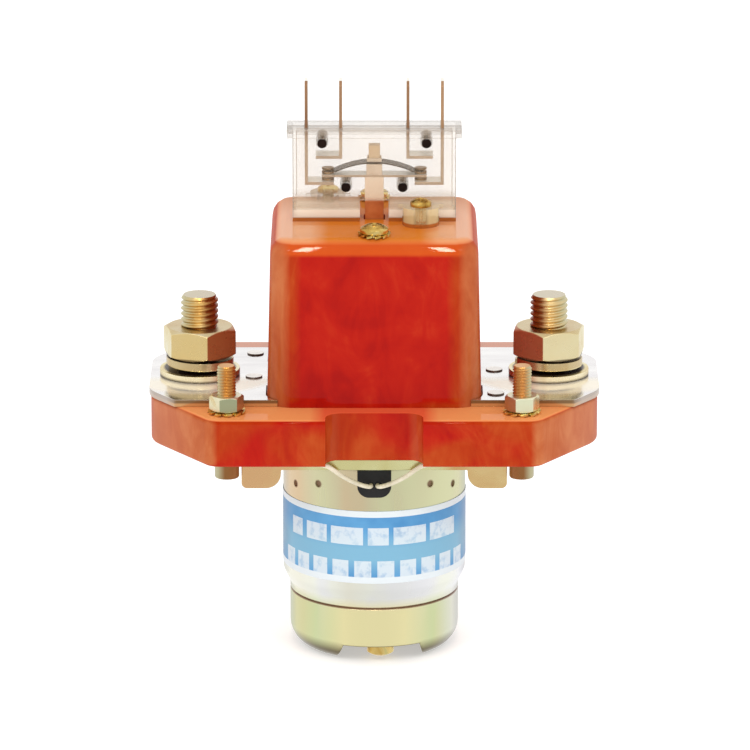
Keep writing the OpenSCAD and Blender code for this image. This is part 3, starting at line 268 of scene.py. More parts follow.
def moulding():
    """Glossy polyester moulding: deep red with soft swirls; the orange at its edges and the pale on top are painted
    light and reflection.
    """
    g = Graph("moulding", Specular_IOR_Level=0.0, Roughness=0.5, Coat_Roughness=0.018, Coat_IOR=1.5)
    x, y, z = g.xyz()
    nx, ny, nz = g.normal()
    far = g.absolute(x)
    swirl = g.noise(46.0, 3.0, 0.5, 1.8, g.stretched(1.0, 1.0, 0.7, 0.5))
    streak = g.noise(120.0, 5.0, 0.6, 2.5, g.stretched(1.0, 1.0, 0.45, -0.6))
    value = g.plus(g.times(swirl, 0.6), g.times(streak, 0.4))
    red = g.ramp(value, [(0.36, srgb(161, 16, 10)), (0.47, srgb(173, 22, 10)),
                         (0.56, srgb(179, 28, 12)), (0.68, srgb(188, 46, 20))])
    orange = g.ramp(value, [(0.34, srgb(164, 39, 8)), (0.50, srgb(173, 53, 12)), (0.66, srgb(182, 72, 26))])
    pale = g.ramp(value, [(0.34, srgb(176, 90, 48)), (0.50, srgb(188, 106, 62)), (0.66, srgb(200, 126, 80))])

    # Walls: red in the middle, orange and then pale towards corners, borders and edges, painted as reflection of the
    # bright surroundings; random orange blotches on the flange
    low = g.short_of(z, *FLANGE_END)
    high = g.past(z, *FLANGE_END)
    corner = g.times(g.rise(g.times(nx, ny), 0.1, 0.4), g.scale(far, 14.5 * MM, 16.0 * MM, 0.25, 1.0))
    across = g.most(g.times(far, ny), g.times(g.absolute(y), nx))
    border = g.times(g.past(across, 18.5, 21.5, 0.9), high)
    edge = g.times(g.rise(nz, 0.05, 0.4), high)
    blotch = g.times(g.rise(g.noise(34.0, 2.0, 0.5, 0.6), 0.36, 0.56), low)
    loose = g.plus(g.most(corner, border, edge, blotch), g.times(g.minus(value, 0.5), 0.7))
    tone = g.mix(g.rise(loose, 0.15, 0.85), red, orange)
    # Painted light on the rounded top edge of the housing, less towards its corners
    crown_light = g.times(g.band(nz, 0.25, 0.75, 0.2), high, g.scale(far, 22.0 * MM, 26.0 * MM, 0.75, 0.2))
    tone = g.mix(crown_light, tone, srgb(210, 86, 24))
    # Pale on the corners and on the flange's far ends: painted reflection of the bright sides at a grazing angle
    tone = g.mix(g.times(corner, 0.75), tone, pale)
    tone = g.mix(g.times(g.past(far, 47.0, 60.0, 0.35), low), tone, srgb(204, 150, 126))

    # Top of the flange, with its rear strip: painted light on the top faces, paler away from the middle, and painted
    # grazing reflection on the rear strip
    top = g.rise(nz, 0.7, 0.95)
    tone = g.mix(g.times(top, 0.9), tone, srgb(232, 102, 64))
    tone = g.mix(g.times(top, g.past(far, 13.0, 17.0)), tone, srgb(236, 152, 92))
    rear = g.times(top, g.past(y, 26.5, 27.5), low)
    tone = g.mix(rear, tone, srgb(204, 132, 98))

    # Roof of the housing: painted reflection of the clear box and the bright surroundings, paler towards the sides
    # and darker towards the rear
    roof = g.mix(g.past(far, 12.0, 17.0), srgb(213, 120, 38), srgb(226, 154, 102))
    roof = g.mix(g.past(y, 2.0, 22.0, 0.55), roof, srgb(180, 106, 62))
    over_box = g.times(top, g.past(z, 100.0, 112.0))
    g.colour(g.mix(over_box, tone, roof))

    # Gloss: less on the flange's edges, more on the roof's sides and on the rear strip
    matt = g.times(low, g.band(nz, 0.2, 0.9, 0.1))
    sheen = g.times(over_box, g.past(far, 12.0, 17.0, 0.6), g.scale(y, 4.0 * MM, 20.0 * MM, 1.0, 0.45))
    g.set("Coat Weight", g.most(g.plus(g.scale(matt, 0.0, 1.0, 0.27, 0.04), sheen), g.times(rear, 0.9)))
    g.bump(g.noise(160.0, 3.0), 0.00002, 0.3)
    return g.material


def passivated(name, stops, rough=(0.22, 0.34), scale=45.0):
    """Zinc plating whose passivation drifts between the given tones."""
    g = Graph(name, Metallic=1.0)
    film = g.noise(scale, 3.0, 0.5, 1.2)
    g.colour(g.ramp(film, stops))
    g.rough(g.spread(g.noise(380.0, 4.0), *rough))
    g.bump(g.noise(900.0, 3.0), 0.000008, 0.4)
    return g.material


def can_zinc():
    """Zinc plating of the can and its cap: khaki above, silvery below, yellow in the middle of the cap."""
    g = Graph("zinc_can", Metallic=1.0)
    x, y, z = g.xyz()
    nx, _, nz = g.normal()
    film = g.noise(52.0, 2.0, 0.45, 0.4, g.stretched(1.0, 1.0, 0.22))
    upper = g.ramp(film, [(0.36, srgb(228, 202, 164)), (0.50, srgb(222, 212, 174)), (0.64, srgb(224, 224, 180))])
    lower = g.ramp(film, [(0.36, srgb(250, 248, 232)), (0.50, srgb(253, 254, 242)), (0.64, srgb(248, 248, 254))])
    cap = g.ramp(film, [(0.36, srgb(220, 216, 164)), (0.50, srgb(216, 224, 172)), (0.64, srgb(228, 228, 188))])
    cap = g.mix(g.times(g.zone(x, -8.0, 8.0, 7.0), 0.9), cap, srgb(255, 244, 186))
    cap = g.mix(g.past(x, 16.0, 22.0, 0.8), cap, srgb(232, 228, 226))
    tone = g.mix(g.past(z, 15.0, 18.5), cap, lower)
    tone = g.mix(g.past(z, 24.0, 30.0), tone, upper)

    # Shade on the rounded sides, under the cap, in its channel and below the yoke plate
    rounding = g.times(g.rise(nz, -0.1, -0.6, 0.9), g.short_of(z, 7.5, 9.5))
    channel = g.times(g.rise(nx, 0.6, 0.8, 0.8), g.short_of(z, 4.9, 5.2), g.short_of(g.absolute(x), 14.0, 15.0))
    brow = g.past(z, 54.2, 55.4, 0.75)
    tone = g.mix(g.rise(nx, 0.92, 1.0, 0.45), tone, srgb(128, 130, 122))
    tone = g.mix(g.most(rounding, channel, brow), tone, srgb(104, 88, 66))

    # Brown staking marks, at angles from the front, and the brown seam above the cap
    turn = g.absolute(g.math("DEGREES", g.math("ARCTAN2", x, g.times(y, -1.0))))
    turn = g.math("MINIMUM", turn, g.minus(180.0, turn))
    mm_per_degree = 0.4267
    marks = []
    for angle, height in ((59.0, 47.7), (37.5, 49.6)):
        beside = g.times(g.minus(turn, angle), mm_per_degree * MM)
        marks.append(g.short_of(g.length(beside, g.minus(z, height * MM)), 0.7, 1.3))
    dark = g.most(g.zone(z, 15.45, 15.95, 0.25), *marks)
    g.colour(g.mix(g.times(dark, 0.85), tone, srgb(112, 62, 34)))
    g.set("Metallic", g.scale(dark, 0.0, 1.0, 1.0, 0.3))
    g.rough(g.spread(film, 0.2, 0.3))
    g.bump(g.noise(240.0, 2.0), 0.000006, 0.15)
    return g.material


def yoke_zinc():
    """Zinc plating of the yoke plate: warm at its sides, yellow-green on the front and rear lips."""
    g = Graph("zinc_yoke", Metallic=1.0)
    film = g.noise(45.0, 3.0, 0.5, 1.2)
    warm = g.ramp(film, [(0.34, srgb(222, 178, 118)), (0.50, srgb(236, 206, 146)), (0.66, srgb(232, 186, 134))])
    fresh = g.mix(g.spread(film), srgb(222, 214, 150), srgb(240, 240, 186))
    g.colour(g.mix(g.past(g.absolute(g.xyz()[0]), 17.0, 21.0), fresh, warm))
    g.rough(g.spread(g.noise(380.0, 4.0), 0.22, 0.34))
    g.bump(g.noise(900.0, 3.0), 0.000008, 0.4)
    return g.material


def stack_zinc():
    """Zinc plating of nuts and washers: yellow outside, painted brown reflection of the housing on faces turned
    towards it, painted shade in the gaps.
    """
    g = Graph("zinc_stack")
    x, y, z = g.xyz()
    _, ny, nz = g.normal()
    right = g.math("GREATER_THAN", x, 0.0)
    film = g.noise(90.0, 3.0, 0.5, 0.8)
    tone = g.ramp(film, [(0.34, srgb(226, 202, 146)), (0.50, srgb(236, 222, 172)), (0.66, srgb(240, 232, 198))])

    # Front faces of the nuts and of the flat washers painted lighter as lit from the front, the right nut most;
    # browner spring washers, dull nut tops
    front = g.times(g.rise(ny, 0.6, 0.95, 0.75), g.zone(z, 80.0, 88.0, 0.1))
    tone = g.mix(front, tone, g.mix(right, srgb(238, 206, 136), srgb(250, 236, 190)))
    washer = g.times(g.short_of(z, 77.4, 77.6), g.rise(ny, 0.2, 0.6))
    tone = g.mix(g.times(washer, 0.8), tone, srgb(255, 246, 214))
    tone = g.mix(g.times(g.zone(z, 77.8, 79.8, 0.2), 0.5), tone, srgb(186, 152, 108))
    crest = g.times(g.rise(nz, 0.6, 0.9, 0.55), g.past(z, 85.0, 86.0))
    tone = g.mix(crest, tone, srgb(186, 158, 118))
    # Painted reflection of the red housing: brown on faces turned towards it
    shade = g.rise(g.inward(), 0.2, 0.7)
    tone = g.mix(shade, tone, g.mix(right, srgb(184, 112, 64), srgb(182, 84, 48)))

    # Painted shade in the gaps between the washers, at their feet and round the stud
    reach = g.from_stud(x, y)
    under = g.times(g.rise(nz, -0.3, -0.8), g.past(z, 75.5, 76.5))
    ledge = g.times(g.rise(nz, 0.6, 0.9), g.zone(z, 76.0, 77.0, 0.3), g.short_of(reach, 9.2, 9.9))
    foot = g.times(g.short_of(z, 74.9, 75.5), g.past(z, 74.0, 74.6))
    brim = g.zone(z, 79.9, 80.5, 0.3)
    bore = g.times(g.short_of(reach, 5.6, 6.2), g.short_of(z, 87.0, 87.6))
    gap_shade = g.most(under, ledge, g.times(foot, 0.85), g.times(brim, 0.8), bore)
    g.colour(g.mix(gap_shade, tone, srgb(58, 36, 22)))
    metal = g.minus(g.scale(shade, 0.0, 1.0, 1.0, 0.45), g.times(gap_shade, 0.45))
    g.set("Metallic", g.minus(metal, g.times(washer, g.minus(1.0, gap_shade), 0.4)))
    g.rough(g.spread(g.noise(300.0, 3.0), 0.24, 0.34))
    g.bump(g.noise(500.0, 2.0), 0.000006, 0.2)
    return g.material


def stud_alloy():
    """Copper alloy of the studs: golden in front, with painted reflection greenish grey on the outer sides and brown
    on the sides towards the housing.
    """
    g = Graph("stud_alloy")
    x, y, z = g.xyz()
    patch = g.noise(140.0, 3.0, 0.55)
    gold = g.ramp(patch, [(0.34, srgb(214, 166, 94)), (0.50, srgb(228, 188, 114)), (0.66, srgb(236, 210, 150))])
    # The right stud painted paler, as lit more strongly
    gold = g.mix(g.times(g.math("GREATER_THAN", x, 0.0), 0.4), gold, srgb(252, 228, 180))

    # Coil studs, their heads with painted shade under the flange, and the end faces of the main studs
    small = g.short_of(y, -20.0, -16.0)
    gold = g.mix(g.times(small, 0.7), gold, srgb(214, 142, 62))
    gold = g.mix(g.short_of(z, 60.0, 61.0, 0.85), gold, srgb(150, 100, 62))
    end = g.times(g.rise(g.facing()[2], 0.85, 0.98, 0.7), g.past(z, 95.2, 95.7))
    gold = g.mix(end, gold, srgb(196, 196, 184))

    # Sides, with painted reflection: pale outside and brown towards the housing; painted shade on the stretch inside
    # the washers
    inward = g.inward()
    tone = g.mix(g.rise(inward, -0.15, -0.7, 0.9), gold, srgb(200, 194, 156))
    shade = g.times(g.rise(inward, 0.05, 0.45), g.scale(y, -20.0 * MM, -16.0 * MM, 0.5, 1.0))
    tone = g.mix(shade, tone, srgb(144, 80, 30))
    inside = g.times(g.zone(z, 72.0, 80.0, 0.3), g.past(y, -20.0, -16.0))
    g.colour(g.mix(inside, tone, srgb(50, 32, 20)))
    g.set("Metallic", g.scale(shade, 0.0, 1.0, 1.0, 0.5))
    g.rough(g.spread(patch, 0.24, 0.36))
    g.bump(g.noise(500.0, 2.0), 0.000006, 0.3)
    return g.material


def bright_plate():
    """Bright plating with fine lines on top, a painted reflection of the washers in front of them, and dull brown cut
    edges with painted shade at their foot.
    """
    g = Graph("bright_plate")
    x, y, z = g.xyz()
    lines = g.noise(160.0, 3.0, 0.5, 0.0, g.stretched(0.3, 1.0, 1.0))
    flat = g.rise(g.absolute(g.facing()[2]), 0.55, 0.9)
    # Cream zone on the top in front of the washer stacks: painted reflection of the washers, made less metallic
    patch = g.times(flat, g.zone(g.from_stud(x, y), 9.0, 19.0, 3.0), g.past(y, -3.0, -8.0, 0.7))
    top = g.mix(g.spread(lines), srgb(232, 228, 228), srgb(250, 248, 246))
    top = g.mix(patch, top, srgb(255, 246, 222))
    # Lower part of the cut edges darker: painted shade at their foot
    edge = g.mix(g.past(z, 73.6, 73.9), srgb(206, 158, 104), srgb(130, 100, 64))
    edge = g.mix(g.past(g.absolute(x), 52.0, 55.0, 0.8), edge, srgb(190, 180, 172))
    g.colour(g.mix(flat, edge, top))
    g.set("Metallic", g.minus(g.scale(flat, 0.0, 1.0, 0.4, 1.0), g.times(patch, 0.75)))
    g.rough(g.spread(lines, 0.1, 0.2))
    g.bump(lines, 0.00001, 0.2)
    return g.material


def rivet_plating():
    """Rivet heads on the plates: satin grey, with painted shade on the dark rim."""
    g = Graph("rivet_plating")
    patch = g.noise(400.0, 3.0)
    flat = g.rise(g.facing()[2], 0.6, 0.95)
    g.colour(g.mix(flat, srgb(92, 76, 66), g.mix(g.spread(patch), srgb(226, 218, 210), srgb(250, 244, 238))))
    g.set("Metallic", g.scale(flat, 0.0, 1.0, 0.4, 1.0))
    g.rough(g.spread(patch, 0.2, 0.3))
    g.bump(patch, 0.00001, 0.3)
    return g.material


def plunger_moulding():
    """Brown moulding of the plunger, painted pale inside the clear box as the veil of the milky cover over it."""
    g = Graph("plunger_moulding", IOR=1.4)
    z = g.xyz()[2]
    drift = g.noise(180.0, 3.0)
    tone = g.mix(g.spread(drift), srgb(172, 86, 40), srgb(206, 120, 66))
    tone = g.mix(g.past(z, 122.6, 123.8), tone, srgb(236, 216, 190))
    g.colour(g.mix(g.past(z, 133.6, 134.4), tone, srgb(206, 178, 142)))
    g.rough(g.spread(drift, 0.3, 0.42))
    g.bump(g.noise(700.0, 2.0), 0.00001, 0.4)
    return g.material


def blade_strip():
    """Tinned strip: pale on its broad faces, brown on its cut edges, which are painted paler inside the clear box as
    the veil of the milky cover.
    """
    g = Graph("blade_strip", Metallic=0.55)
    _, ny, nz = g.normal()
    lines = g.noise(260.0, 3.0, 0.5, 0.0, g.stretched(1.0, 1.0, 0.15))
    pale = g.mix(g.spread(lines), srgb(206, 192, 170), srgb(224, 214, 196))
    pale = g.mix(g.rise(g.absolute(nz), 0.5, 0.9), pale, srgb(250, 246, 236))
    cut = g.mix(g.spread(lines), srgb(146, 106, 76), srgb(182, 142, 106))
    cut = g.mix(g.short_of(g.xyz()[2], 139.0, 143.0, 0.55), cut, srgb(214, 196, 172))
    g.colour(g.mix(g.rise(ny, 0.3, 0.7), pale, cut))
    g.rough(g.spread(lines, 0.3, 0.42))
    g.bump(lines, 0.000008, 0.3)
    return g.material


def coil_nut_zinc():
    """Zinc plating of the small nuts, with a green cast in front, painted light and shade on the fronts, and painted
    brown reflection of the housing.
    """
    g = Graph("zinc_coil_nut", Metallic=0.9)
    ny = g.normal()[1]
    film = g.noise(120.0, 3.0, 0.5, 0.8)
    tone = g.ramp(film, [(0.34, srgb(226, 206, 158)), (0.50, srgb(234, 228, 190)), (0.66, srgb(238, 232, 206))])
    tone = g.mix(g.rise(ny, 0.7, 0.95, 0.85), tone, srgb(204, 218, 186))
    # Front faces painted light on the right nut and shaded on the left
    left = g.math("LESS_THAN", g.xyz()[0], 0.0)
    tone = g.mix(g.rise(ny, 0.7, 0.95, 0.75), tone, g.mix(left, srgb(250, 250, 214), srgb(158, 160, 120)))
    # Painted brown reflection of the housing on faces turned towards it
    g.colour(g.mix(g.rise(g.inward(), 0.25, 0.7, 0.7), tone, srgb(150, 96, 60)))
    g.rough(g.spread(film, 0.24, 0.34))
    g.bump(g.noise(500.0, 2.0), 0.000006, 0.2)
    return g.material


def brushed(name, dark, pale, rough=(0.25, 0.4)):
    """Drawn or rolled metal with fine lines."""
    g = Graph(name, Metallic=1.0)
    lines = g.noise(300.0, 4.0, 0.6, 0.0, g.stretched(1.0, 1.0, 0.15))
    g.colour(g.mix(g.spread(lines), dark, pale))
    g.rough(g.spread(lines, *rough))
    g.bump(lines, 0.00001, 0.4)
    return g.material


def plain(name, dark, pale, rough=(0.35, 0.5)):
    """Moulded plastic, rubber or paint with a slight drift of tone and a fine grain."""
    g = Graph(name)
    drift = g.noise(250.0, 4.0, 0.6)
    g.colour(g.mix(g.spread(drift), dark, pale))
    g.rough(g.spread(drift, *rough))
    g.bump(g.noise(1250.0, 2.0), 0.00001, 0.5)
    return g.material


def box_rivet():
    """Rivets of the clear box: black heads in front and behind, clear shanks."""
    g = Graph("box_rivet", IOR=1.2)
    ny = g.normal()[1]
    drift = g.noise(250.0, 3.0)
    head = g.mix(g.spread(drift), srgb(14, 6, 4), srgb(34, 18, 12))
    g.colour(g.mix(g.rise(ny, 0.25, 0.6), srgb(238, 226, 208), head))
    g.set("Alpha", g.scale(ny, 0.25, 0.6, 0.06, 1.0))
    g.rough(g.spread(drift, 0.5, 0.65))
    g.bump(g.noise(700.0, 2.0), 0.000008, 0.4)
    return g.material


def label_print():
    """Printed film: blue between two white edges, with plain bars and squares as a generic print."""
    g = Graph("label_print", Coat_Weight=0.2, Coat_Roughness=0.15, IOR=1.3)
    x, y, z = g.xyz()
    angle = g.math("DEGREES", g.math("ARCTAN2", x, g.times(y, -1.0)))
    white_edge = 1.7 * MM
    bar_angles = ((-62, -51), (-47, -31), (-28, -7), (-4, 9), (12, 34), (37, 60))
    square_step, square_end = 14.4, 72.0

    def inside(value, a, b):
        return g.times(g.math("GREATER_THAN", value, a), g.math("LESS_THAN", value, b))

    drift = g.noise(90.0, 3.0)
    blue = g.mix(g.spread(drift), srgb(74, 140, 196), srgb(98, 164, 214))
    blue = g.mix(g.zone(z, 30.0, 33.0, 5.0), blue, srgb(124, 178, 208))
    # Darker blue at the left and right sides: painted shade
    blue = g.mix(g.rise(g.normal()[0], 0.9, 1.0, 0.5), blue, srgb(66, 104, 150))
    edge = g.plus(inside(z, LABEL_HIGH - white_edge, LABEL_HIGH), inside(z, LABEL_LOW, LABEL_LOW + white_edge))
    bars = g.times(g.plus(*[inside(angle, a, b) for a, b in bar_angles]), inside(z, 34.0 * MM, 38.8 * MM))
    cell = g.math("FRACT", g.math("DIVIDE", g.plus(angle, square_end), square_step))
    squares = g.times(inside(cell, 0.13, 0.87), inside(angle, -square_end, square_end),
                      inside(z, 24.9 * MM, 29.6 * MM))
    patch = g.scale(g.noise(420.0, 4.0, 0.6), 0.34, 0.5, 0.55, 1.0)
    ink = g.times(g.plus(bars, squares), patch)
    g.colour(g.mix(g.math("MINIMUM", g.plus(edge, g.times(ink, 0.82)), 1.0), blue, srgb(220, 229, 235)))
    g.rough(g.spread(drift, 0.28, 0.4))
    g.bump(g.noise(700.0, 2.0), 0.000006, 0.3)
    return g.material


def clear_cover():
    """Clear moulded polycarbonate, milky with age and handling, with a slight flow pattern."""
    g = Graph("clear_cover", IOR=1.35, Specular_IOR_Level=0.4)
    x, y, z = g.xyz()
    nx, ny, nz = g.normal()
    nz = g.absolute(nz)
    deep = g.absolute(y)
    drift = g.noise(120.0, 3.0)
    edge = g.rise(g.most(g.times(nx, ny), g.times(ny, nz), g.times(nx, nz)), 0.12, 0.4)
    side = g.times(g.rise(g.most(nx, nz), 0.8, 0.95), g.past(z, 119.0, 120.0))
    sill = g.times(g.zone(z, 119.0, 120.8, 0.9), g.short_of(deep, 5.5, 6.0))
    ear = g.past(deep, 5.8, 6.4)
    rim = g.most(g.past(z, 142.0, 142.3), g.times(g.past(g.absolute(x), 21.3, 21.6), g.rise(ny, 0.5, 0.8)))
    seat = g.short_of(z, 118.7, 119.0)

    tone = g.mix(g.spread(drift), srgb(214, 190, 160), srgb(234, 218, 196))
    tone = g.mix(g.times(side, 0.5), tone, srgb(214, 200, 184))
    # Greyer edges and rims: painted shade
    tone = g.mix(edge, tone, srgb(176, 162, 146))
    tone = g.mix(sill, tone, srgb(255, 246, 230))
    tone = g.mix(g.times(ear, 0.8), tone, srgb(246, 222, 162))
    tone = g.mix(rim, tone, srgb(176, 166, 154))
    # Orange-brown band along the seat: painted shadow and painted reflection of the red roof
    g.colour(g.mix(seat, tone, srgb(206, 120, 54)))

    walls = g.plus(g.short_of(z, 121.4, 124.5, 0.25), g.scale(y, -0.5 * MM, 0.5 * MM, 0.07, 0.2))
    g.set("Alpha", g.most(walls, g.times(rim, 0.36), g.times(sill, 0.66), g.times(edge, 0.7), g.times(seat, 0.6),
                          g.times(side, 0.3)))
    g.rough(g.spread(drift, 0.06, 0.14))
    g.bump(g.noise(60.0, 2.0), 0.00005, 0.2)
    return g.material


ZINC = [(0.30, srgb(226, 206, 156)), (0.42, srgb(240, 230, 190)), (0.52, srgb(232, 238, 206)),
        (0.60, srgb(244, 232, 202)), (0.70, srgb(240, 212, 190))]
GOLD = [(0.30, srgb(176, 132, 60)), (0.45, srgb(214, 176, 92)), (0.60, srgb(232, 206, 132)),
        (0.72, srgb(204, 196, 130))]

# Material of each slot, apart from slots whose nodes are all in the next table
materials = {
    "moulding": moulding(),
    "zinc_yellow": passivated("zinc_yellow", ZINC),
    "fastener_gold": passivated("fastener_gold", GOLD, (0.2, 0.32), 160.0),
    "contact_silver": brushed("contact_silver", srgb(196, 188, 176), srgb(226, 220, 208), (0.32, 0.46)),
    "copper": brushed("copper", srgb(176, 96, 60), srgb(212, 132, 90)),
    "magnet_steel": brushed("magnet_steel", srgb(120, 120, 124), srgb(160, 160, 164)),
    "spring_steel": brushed("spring_steel", srgb(38, 30, 24), srgb(84, 72, 60), (0.22, 0.34)),
    "bobbin_nylon": plain("bobbin_nylon", srgb(214, 206, 182), srgb(232, 226, 206)),
    "tube_brass": brushed("tube_brass", srgb(190, 150, 80), srgb(216, 182, 110)),
    "black_rubber": plain("black_rubber", srgb(12, 12, 12), srgb(28, 26, 26), (0.55, 0.7)),
    "lead_insulation": plain("lead_insulation", srgb(206, 196, 170), srgb(234, 226, 204), (0.42, 0.56)),
    "label_print": label_print(),
    "clear_cover": clear_cover(),
    "leaf_cap_tan": plain("leaf_cap_tan", srgb(206, 184, 158), srgb(226, 208, 184), (0.3, 0.44)),
}

# Nodes whose material is their own
special = {}
for make, nodes in (
        (can_zinc, ("magnet_can", "bottom_cap")),
        (yoke_zinc, ("yoke_plate",)),
        (stack_zinc, ("main_nuts", "main_flat_washers", "main_spring_washers")),
        (coil_nut_zinc, ("coil_nuts",)),
        (stud_alloy, ("main_studs", "coil_studs")),
        (bright_plate, ("terminal_plate_left", "terminal_plate_right")),
        (rivet_plating, ("plate_rivets",)),
        (blade_strip, ("nc_blade_left", "nc_blade_right", "no_blade_left", "no_blade_right", "aux_moving_bar")),
        (box_rivet, ("aux_box_rivets",)),
        (plunger_moulding, ("aux_plunger",)),
        (lambda: brushed("contact_tan", srgb(126, 98, 68), srgb(170, 140, 106)),
         ("aux_bar_rivets", "blade_contact_rivets"))):
    special.update(dict.fromkeys(nodes, make()))

slot_of = {part["node"]: part["material_slot"] for part in frame["record"]["subparts"]}
body_of = {node: body for body, nodes in frame["record"]["behaviour"]["bodies"].items() for node in nodes}


# ---------------------------------------------------------------- meshes
def paint(obj, slot, node=None):
    """Gives an object the material of its node or else of its slot."""
    obj.data.materials.clear()
    obj.data.materials.append(special[node] if node in special else materials[slot])


def settle(obj, slot, body, node=None):
    """Gives a piece its material and its body, and hides the CAD node it stands for."""
    paint(obj, slot, node)
    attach(obj, body)
    if node:
        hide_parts(node)


def piece(name, bm, sharp=30.0):
    """New object from a bmesh, smooth but for edges over the given angle."""
    mesh = bpy.data.meshes.new(name)
    bmesh.ops.recalc_face_normals(bm, faces=bm.faces)
    bm.to_mesh(mesh)
    bm.free()
    mesh.shade_smooth()
    mesh.set_sharp_from_angle(angle=math.radians(sharp))
    obj = bpy.data.objects.new(name, mesh)
    scene.collection.objects.link(obj)
    return obj


def flatten(obj):
    """Applies the object's modifiers to its mesh."""
    bpy.context.view_layer.update()
    view = bpy.context.evaluated_depsgraph_get()
    mesh = bpy.data.meshes.new_from_object(obj.evaluated_get(view))
    obj.modifiers.clear()
    obj.data = mesh
    return obj


def dressed(node, width):
    """A CAD node's shape in place of the node: doubled corners joined, flat faces whole, edges rounded."""
    bm = bmesh.new()
    bm.from_mesh(frame["nodes"][node].data)
    bmesh.ops.remove_doubles(bm, verts=bm.verts, dist=1e-6)
    bmesh.ops.dissolve_limit(bm, angle_limit=math.radians(0.4), verts=bm.verts, edges=bm.edges)
    obj = piece(node + "_fine", bm)
    modifier = obj.modifiers.new("bevel", "BEVEL")
    modifier.width = width * MM
    modifier.segments = 2
    modifier.limit_method = "ANGLE"
    modifier.angle_limit = math.radians(28.0)
    modifier.use_clamp_overlap = True
    modifier.harden_normals = False
    flatten(obj)
    obj.data.shade_smooth()
    obj.data.set_sharp_from_angle(angle=math.radians(30.0))
    obj.modifiers.new("flat", "WEIGHTED_NORMAL").keep_sharp = True
    settle(flatten(obj), slot_of[node], body_of[node], node)


def circle(x, y, z, radius, count):
    """Points of a level circle."""
    return [(x + radius * math.cos(2 * math.pi * i / count), y + radius * math.sin(2 * math.pi * i / count), z)
            for i in range(count)]


def skin(rings, ends=True, loop=True):
    """Bmesh skin over rings of points that all have the same count."""
    bm = bmesh.new()
    rows = [[bm.verts.new(p) for p in ring] for ring in rings]
    count = len(rows[0])
    for low, high in zip(rows, rows[1:]):
        for i in range(count if loop else count - 1):
            j = (i + 1) % count
            bm.faces.new((low[i], low[j], high[j], high[i]))
    if ends:
        bm.faces.new(list(reversed(rows[0])))
        bm.faces.new(rows[-1])
    return bm


def ring_skin(rings):
    """Skin over rings whose last lies on the first."""
    bm = skin(rings, ends=False)
    bmesh.ops.remove_doubles(bm, verts=bm.verts, dist=1e-7)
    return bm


def join(target, other):
    """Adds the geometry of one bmesh to another."""
    mesh = bpy.data.meshes.new("part")
    other.to_mesh(mesh)
    other.free()
    target.from_mesh(mesh)
    bpy.data.meshes.remove(mesh)


def prism(bm, centre, radius, low, high, sides, turn=0.0):
    """Adds an upright prism or cylinder to a bmesh."""
    made = bmesh.ops.create_cone(bm, cap_ends=True, segments=sides, radius1=radius, radius2=radius, depth=high - low)
    if turn:
        bmesh.ops.rotate(bm, verts=made["verts"], cent=(0, 0, 0),
                         matrix=Matrix.Rotation(math.radians(turn), 3, "Z"))
    bmesh.ops.translate(bm, verts=made["verts"], vec=(*centre, (low + high) / 2))


def thread(centre, radius, pitch, low, high, chamfer, steps):
    """Threaded rod from height low to high: one helical skin cut flat at both ends."""
    depth = 0.42 * pitch
    # Share of the pitch and share of the thread's height
    profile = [(0.0, 1.0), (0.12, 1.0), (0.22, 0.82), (0.38, 0.16), (0.48, 0.0), (0.66, 0.0), (0.76, 0.16),
               (0.92, 0.82)]
    turns = int((high - low) / pitch) + 4
    start = low - 2 * pitch
    rows = []
    for i in range(turns * steps + 1):
        angle = 2 * math.pi * i / steps
        row = []
        for along, deep in [(p, 1 - d) for p, d in profile] + [(1.0, 0.0)]:
            z = start + pitch * (i / steps + along)
            r = radius - depth * deep
            r = min(r, radius - depth * 1.15 + max(0.0, (high - z)) * (depth * 1.15 / chamfer))
            row.append((centre[0] + r * math.cos(angle), centre[1] + r * math.sin(angle), z))
        rows.append(row)
    bm = skin(rows, ends=False, loop=False)
    bmesh.ops.remove_doubles(bm, verts=bm.verts, dist=pitch * 1e-3)
    for z, normal in ((low, -1.0), (high, 1.0)):
        found = bmesh.ops.bisect_plane(bm, geom=bm.verts[:] + bm.edges[:] + bm.faces[:], dist=1e-7,
                                       plane_co=(0, 0, z), plane_no=(0, 0, normal), clear_outer=True)
        rim = [e for e in found["geom_cut"] if isinstance(e, bmesh.types.BMEdge) and e.is_boundary]
        bmesh.ops.contextual_create(bm, geom=rim)
    return bm


# ---------------------------------------------------------------- pieces
def main_studs():
    """Two M10 studs: threaded above the nut, plain in the nut and the flange, with the sunk hexagon head."""
    low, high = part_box("main_studs")
    thread_low = NUT_TOP - 2.0 * MM
    bm = bmesh.new()
    for centre in ((-STUD_X, 0.0), (STUD_X, 0.0)):
        join(bm, thread(centre, 5.0 * MM, 1.5 * MM, thread_low, high.z, 1.1 * MM, 48))
        prism(bm, centre, 4.6 * MM, HEAD_TOP, thread_low, 48)
        prism(bm, centre, 10.161 * MM, low.z, HEAD_TOP, 6, 30)
    settle(piece("main_studs_threaded", bm, 35.0), "stud_metal", "root", "main_studs")


def coil_studs():
    """Two M5 studs, threaded above the nut, with the round head under the flange."""
    low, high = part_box("coil_studs")
    thread_low = 74.5 * MM
    bm = bmesh.new()
    for centre in ((-COIL_X, COIL_Y), (COIL_X, COIL_Y)):
        join(bm, thread(centre, 2.5 * MM, 0.8 * MM, thread_low, high.z, 0.7 * MM, 36))
        prism(bm, centre, 2.1 * MM, EYELET_LOW, thread_low, 36)
        head = [(2.6, low.z), (3.05, low.z + 0.12 * MM), (3.25, low.z + 0.45 * MM),
                (3.25, EYELET_LOW - 0.3 * MM), (3.0, EYELET_LOW)]
        join(bm, skin([circle(*centre, z, r * MM, 40) for r, z in head]))
    settle(piece("coil_studs_threaded", bm, 35.0), "stud_metal", "root", "coil_studs")


